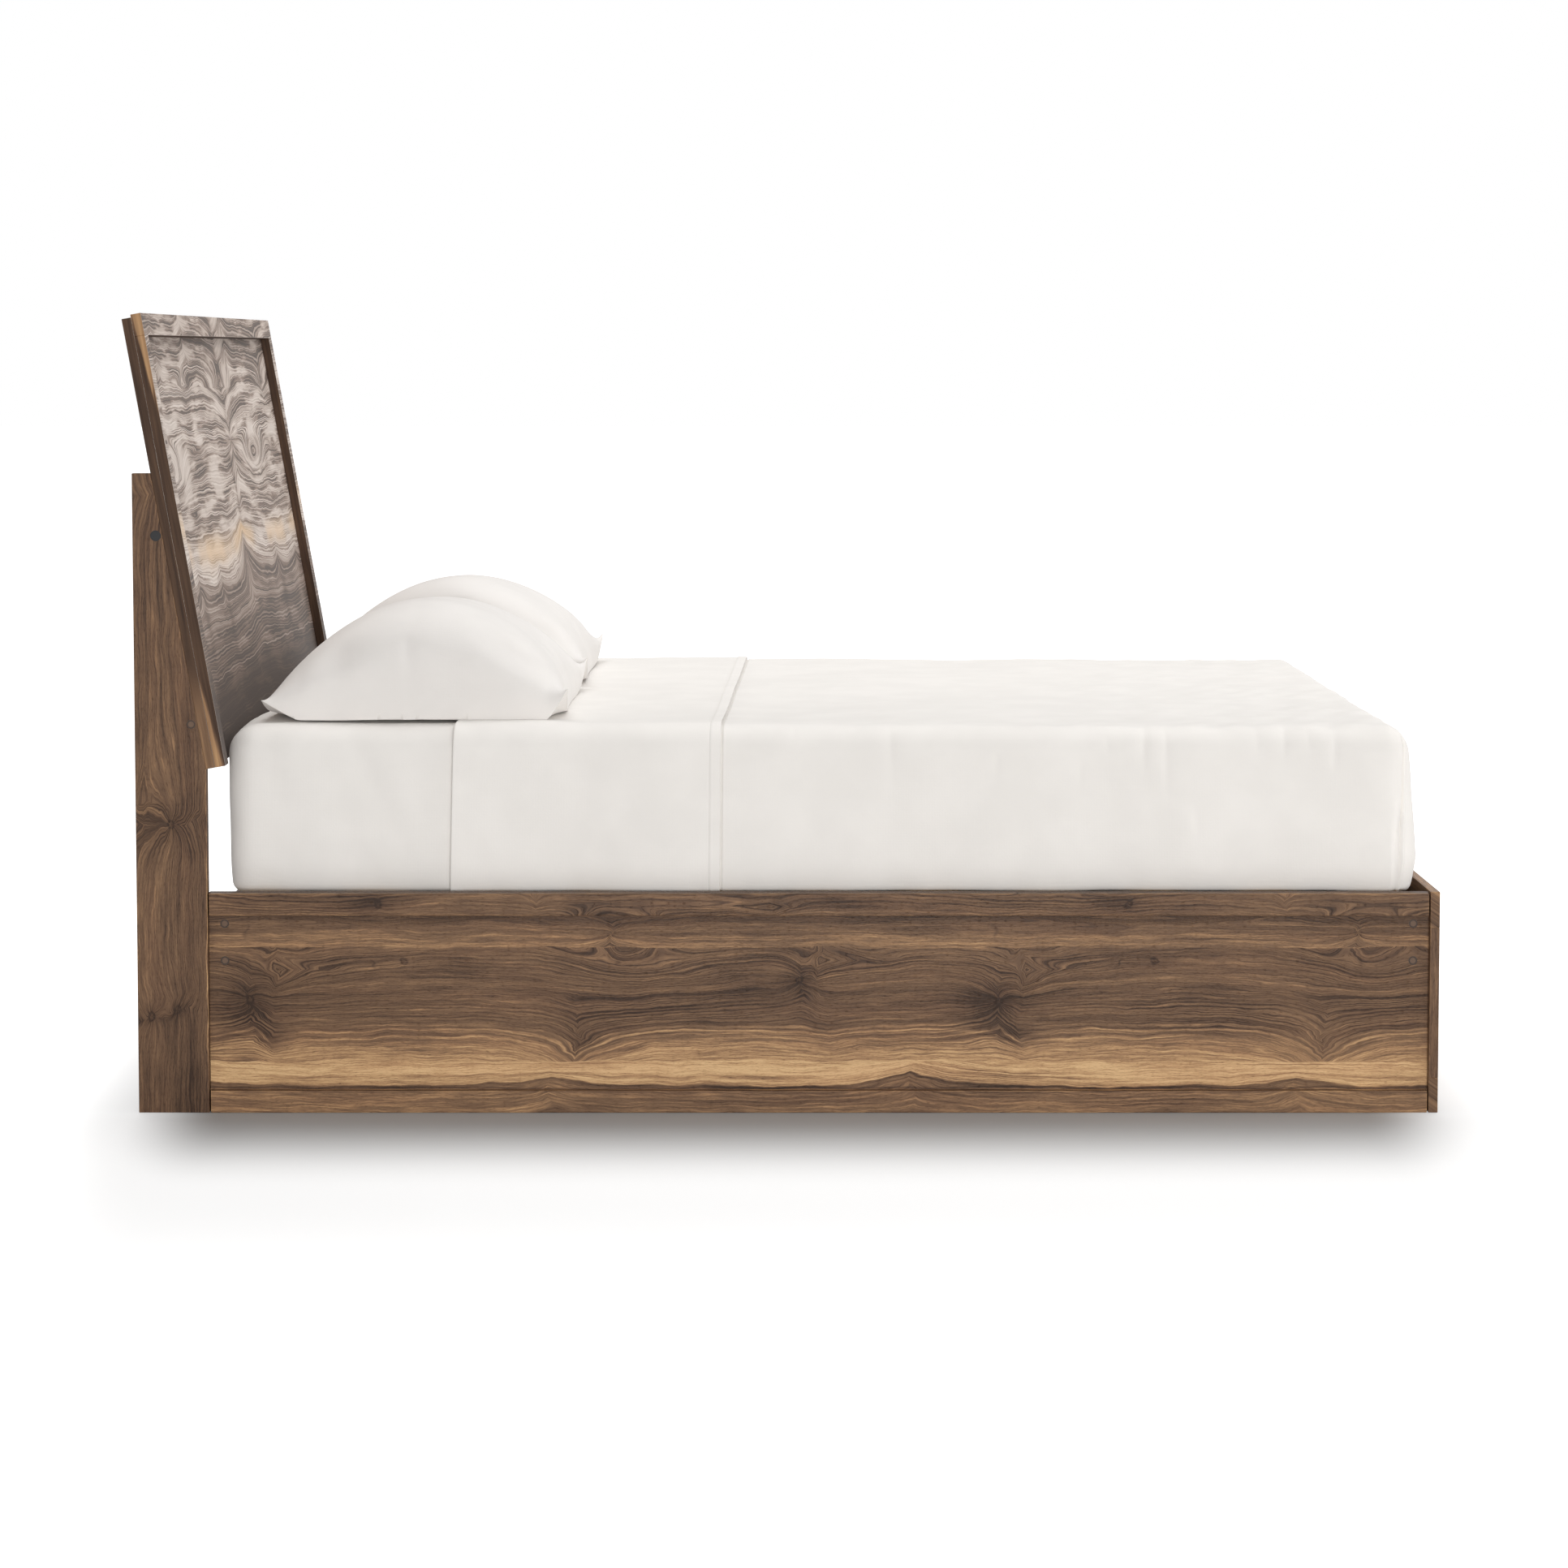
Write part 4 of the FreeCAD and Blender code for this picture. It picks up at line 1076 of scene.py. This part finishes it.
# %% [markdown]
# ## Pillows
# Each pillow is a stuffed bag: two cloths sewn along their edges, so it is plump in the middle, thin at the
# seams, pulled in between its pointed corners, and flat where it lies on the bed. The rough shape is a
# formula. Blender's Cloth then blows it up with a little pressure, which draws the creases that run from the
# corners, and the lowest points are set back onto the bed.

# %% Pillow shape
PILLOW_CROWNS = {"left": 0.192, "right": 0.216}
SEAM_RISE = 0.001
CORNER_RISE = (0.036, 0.057)
CORNER_START = (0.76, 0.86)
DENTS = (
    (0.67, -0.86, 0.16, 0.08, 0.012), (-0.51, -0.90, 0.13, 0.07, 0.007), (-0.04, -0.93, 0.020, 0.05, 0.004),
)
PULL_IN = 0.045
BULGE = (0.030, 0.055)
TIP_ROOM = np.array([0.008, 0.006, 0.0])


def pillow_cloths(low, high, crown, count=84):
    """Two cloths on one outline. x and y are pulled in between the corners, and the upper cloth bulges out
    over its seam: z = seam + crown * (1 - u^2)^q * (1 - |v|^5)^0.5, with q from 0.74 at the head to 0.62 at
    the foot. The seam lies flat and lifts at the corners, and soft dents are pressed into the near end."""
    line = np.sin(np.linspace(-math.pi / 2, math.pi / 2, count) * 0.94) / math.sin(math.pi / 2 * 0.94)
    u, v = np.meshgrid(line, line, indexing="ij")
    middle, half = (low + high) / 2, (high - low) / 2
    half = half * (1.0, 0.975, 1.0)
    x = middle[0] + half[0] * u * (1 - PULL_IN * (1 - v**2))
    y = middle[1] + half[1] * v * (1 - 0.3 * PULL_IN * (1 - u**2))
    room = (1 - u**2) * (1 - v**2)
    foot = (1 + u) / 2
    seam = SEAM_RISE
    for sign, start, height in zip((-1, 1), CORNER_START, CORNER_RISE):
        seam = seam + height * np.abs(v) ** 5 * grow(sign * u, start, 1 - start) ** 1.15
    dent = 0.0
    for at_u, at_v, wide, tall, depth in DENTS:
        dent = dent + depth * bell(u, at_u, wide) * bell(v, at_v, tall)
    tilt = (1 + 0.05 * u) * (1 - 0.08 * (v + 0.5))
    rise = crown * (1 - u**2) ** (0.74 - 0.12 * foot) * (1 - np.abs(v) ** 5) ** 0.5 * tilt
    out_u, out_v = (
        bulge * np.sign(a) * a**4 * (1 - a**10) * (1 - b**4) for bulge, a, b in zip(BULGE, (u, v), (v, u))
    )
    above = np.stack([x + out_u, y + out_v + dent, low[2] + seam * (1 - room) + rise - 0.5 * dent], axis=-1)
    below = np.stack([x, y, low[2] + seam * (1 - room) ** 4], axis=-1)
    return above, below


# %% Blow the pillows up
def inflate(piece, floor, cap=0.012, frames=20):
    """Cloth under pressure for a few frames. No point moves below the floor or further than the cap, which is
    full on the crown and small near the bed and at the four tips."""
    start = points_of(piece)
    middle, half = (start.max(axis=0) + start.min(axis=0)) / 2, (start.max(axis=0) - start.min(axis=0)) / 2
    tip = np.prod(np.abs((start - middle) / half)[:, :2], axis=1)
    free = np.clip((start[:, 2] - floor) / 0.06, 0.12, 1) * (1 - 0.95 * tip)
    cloth = piece.modifiers.new("air", "CLOTH")
    cloth.settings.use_pressure = True
    cloth.settings.uniform_pressure_force = 4.0
    cloth.settings.effector_weights.gravity = 0.0
    cloth.settings.tension_stiffness = 18.0
    cloth.settings.bending_stiffness = 0.3
    scene = bpy.context.scene
    for step in range(1, frames + 1):
        scene.frame_set(step)
    done = piece.evaluated_get(bpy.context.evaluated_depsgraph_get())
    moved = np.zeros(len(start) * 3, np.float32)
    done.data.vertices.foreach_get("co", moved)
    piece.modifiers.remove(cloth)
    scene.frame_set(1)
    shift = moved.reshape(-1, 3) - start
    length = np.linalg.norm(shift, axis=1, keepdims=True)
    shift *= np.minimum(1, cap * free[:, None] / np.maximum(length, 1e-9))
    end = start + shift
    end[:, 2] = np.maximum(end[:, 2], floor)
    put_points(piece, end)


# %% Make the pillows
pillows = {}
for side in ("left", "right"):
    pillow_low, pillow_high = corners(f"{side}_pillow")
    cloths = pillow_cloths(pillow_low - TIP_ROOM, pillow_high + TIP_ROOM, PILLOW_CROWNS[side])
    pillow = mesh_from(f"{side}_pillow_soft", cloths, SAME_POINT)
    inflate(pillow, pillow_low[2])
    pillows[side] = pillow
    print(pillow.name, len(pillow.data.vertices), "points")


# %% [markdown]
# ## Cotton
# The bedding is plain white cotton, slightly warm. Up close it has a fine weave and a soft nap, so the
# material has a faint woven bump, a cloudy tone, and a little sheen for the light that grazes it. The two
# sheets then get their thickness, and the pillows are smoothed once more.

# %% Cotton
def cotton(name, base, shade, weave=3080.0):
    """White cloth: three crossed waves make the weave's bump, and slow noise clouds the tone."""
    f = Finish(name, rough=0.88, Specular_IOR_Level=0.15, Sheen_Weight=0.15, Sheen_Roughness=0.5)
    place = f.place()
    threads = sum(f.math("SINE", f.dot(place, way) * weave) for way in (ALONG_X, ALONG_Y, ALONG_Z))
    base_colour = f.mix(f.step(f.noise(place, 9.0, 3.0), 0.35, 0.70), shade, base)
    return f.finish(base_colour, None, threads * 0.12 + f.noise(place, 260.0), 0.00012)


SHEET_WHITE = cotton("white_sheet", colour(240, 236, 231), colour(236, 232, 227))
CASE_WHITE = cotton("white_pillowcase", colour(233, 229, 225), colour(229, 225, 221))
TICKING = cotton("mattress_cloth", colour(226, 224, 220), colour(216, 214, 210), 1540.0)

for piece, cloth, thick in ((fitted_sheet, SHEET_WHITE, 0.0009), (top_sheet, SHEET_WHITE, 0.0010)):
    piece.data.materials.append(cloth)
    skin_depth = piece.modifiers.new("cloth_thickness", "SOLIDIFY")
    skin_depth.thickness = thick
    skin_depth.offset = -1
mattress.data.materials.append(TICKING)
for side, pillow in pillows.items():
    pillow.data.materials.append(CASE_WHITE)
    plump = pillow.modifiers.new("finer", "SUBSURF")
    plump.levels = plump.render_levels = 1
    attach(pillow, BED)
    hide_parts(f"{side}_pillow")
for piece in (mattress, fitted_sheet, top_sheet):
    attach(piece, BED)
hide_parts("mattress")
print("soft pieces:", 3 + len(pillows))

# %% [markdown]
# ## Floor and light
# The bed stands in a white studio. The floor is a large pale sheet that takes the bed's soft shadow; to the
# camera it also glows a little, which makes it meet the white world with no edge and puts no extra light
# on the bed. A wide lamp above and behind and an even world give the soft light, a far lamp fills the front,
# and a small one lights the foot end.


# %% Floor
SHADOW_HALF = (0.95, 0.80)
SHADOW_STRETCH = (3.2, 1.0)
FLOOR_SIZE, FLOOR_DROP = 60, 0.0006
WHITE = (1.0, 1.0, 1.0, 1.0)


def studio_floor():
    """A diffuse floor. The camera and mirrors see it glow as they look away from the bed: the glow grows with
    the distance from a rectangle under the bed, faster past its ends than past its sides."""
    edge = np.array([-FLOOR_SIZE, 0.0, FLOOR_SIZE])
    floor = mesh_from("studio_floor", [box_face(2, -FLOOR_DROP, edge, edge)])
    white = {"Base_Color": (0.53, 0.525, 0.52, 1.0), "Emission_Color": WHITE}
    f = Finish("studio_white", rough=1.0, Specular_IOR_Level=0.0, **white)
    past_end, past_side = (
        f.math("POWER", f.math("MAXIMUM", abs(f.dot(f.place(), way)) - half, 0.0) * stretch, 2.0)
        for way, half, stretch in zip((ALONG_X, ALONG_Y), SHADOW_HALF, SHADOW_STRETCH)
    )
    near = f.step(f.math("SQRT", past_end + past_side), 0.10, 0.62) * 0.52
    far = f.step(f.math("SQRT", past_end * 2.4 + past_side), 0.7, 2.2) * 0.6
    f.feed(f.shader.inputs["Emission Strength"], f.seen_directly() * (near + far))
    floor.data.materials.append(f.material)


studio_floor()


# %% World and lamps
def world_light(strength, seen):
    """An even world of this strength, which the camera sees as plain white."""
    world = bpy.data.worlds.new("studio_world")
    world.use_nodes = True
    graph = Graph(world.node_tree)
    background = world.node_tree.nodes["Background"].inputs
    background["Color"].default_value = WHITE
    graph.feed(background["Strength"], graph.seen_directly() * (seen - strength) + strength)
    bpy.context.scene.world = world


def soft_lamp(name, place, target, size, power):
    """A rectangular area lamp at a place, turned to a target, with its long side level."""
    lamp = bpy.data.objects.new(name, bpy.data.lights.new(name, "AREA"))
    lamp.data.shape = "RECTANGLE"
    lamp.data.size, lamp.data.size_y = size
    lamp.data.energy = power
    lamp.location = place
    x, y, z = np.subtract(target, place)
    lamp.rotation_euler = (math.atan2(math.hypot(x, y), -z), 0, math.atan2(y, x) - math.pi / 2)
    lamp.visible_camera = False
    bpy.context.scene.collection.objects.link(lamp)


world_light(0.40, 1.0)
soft_lamp("back_overhead", (0.1, 1.0, 4.4), (0, 0, 0.4), (5.0, 2.0), 123)
soft_lamp("low_front", (0.6, -8.6, 0.9), (0, 0, 0.5), (4.0, 1.2), 328)
soft_lamp("foot_side", (3.7, -1.0, 1.1), (0.9, -0.2, 0.55), (1.8, 1.2), 33)
view = bpy.context.scene.view_settings
view.view_transform = "Standard"
print("lamps:", len(bpy.data.lights))
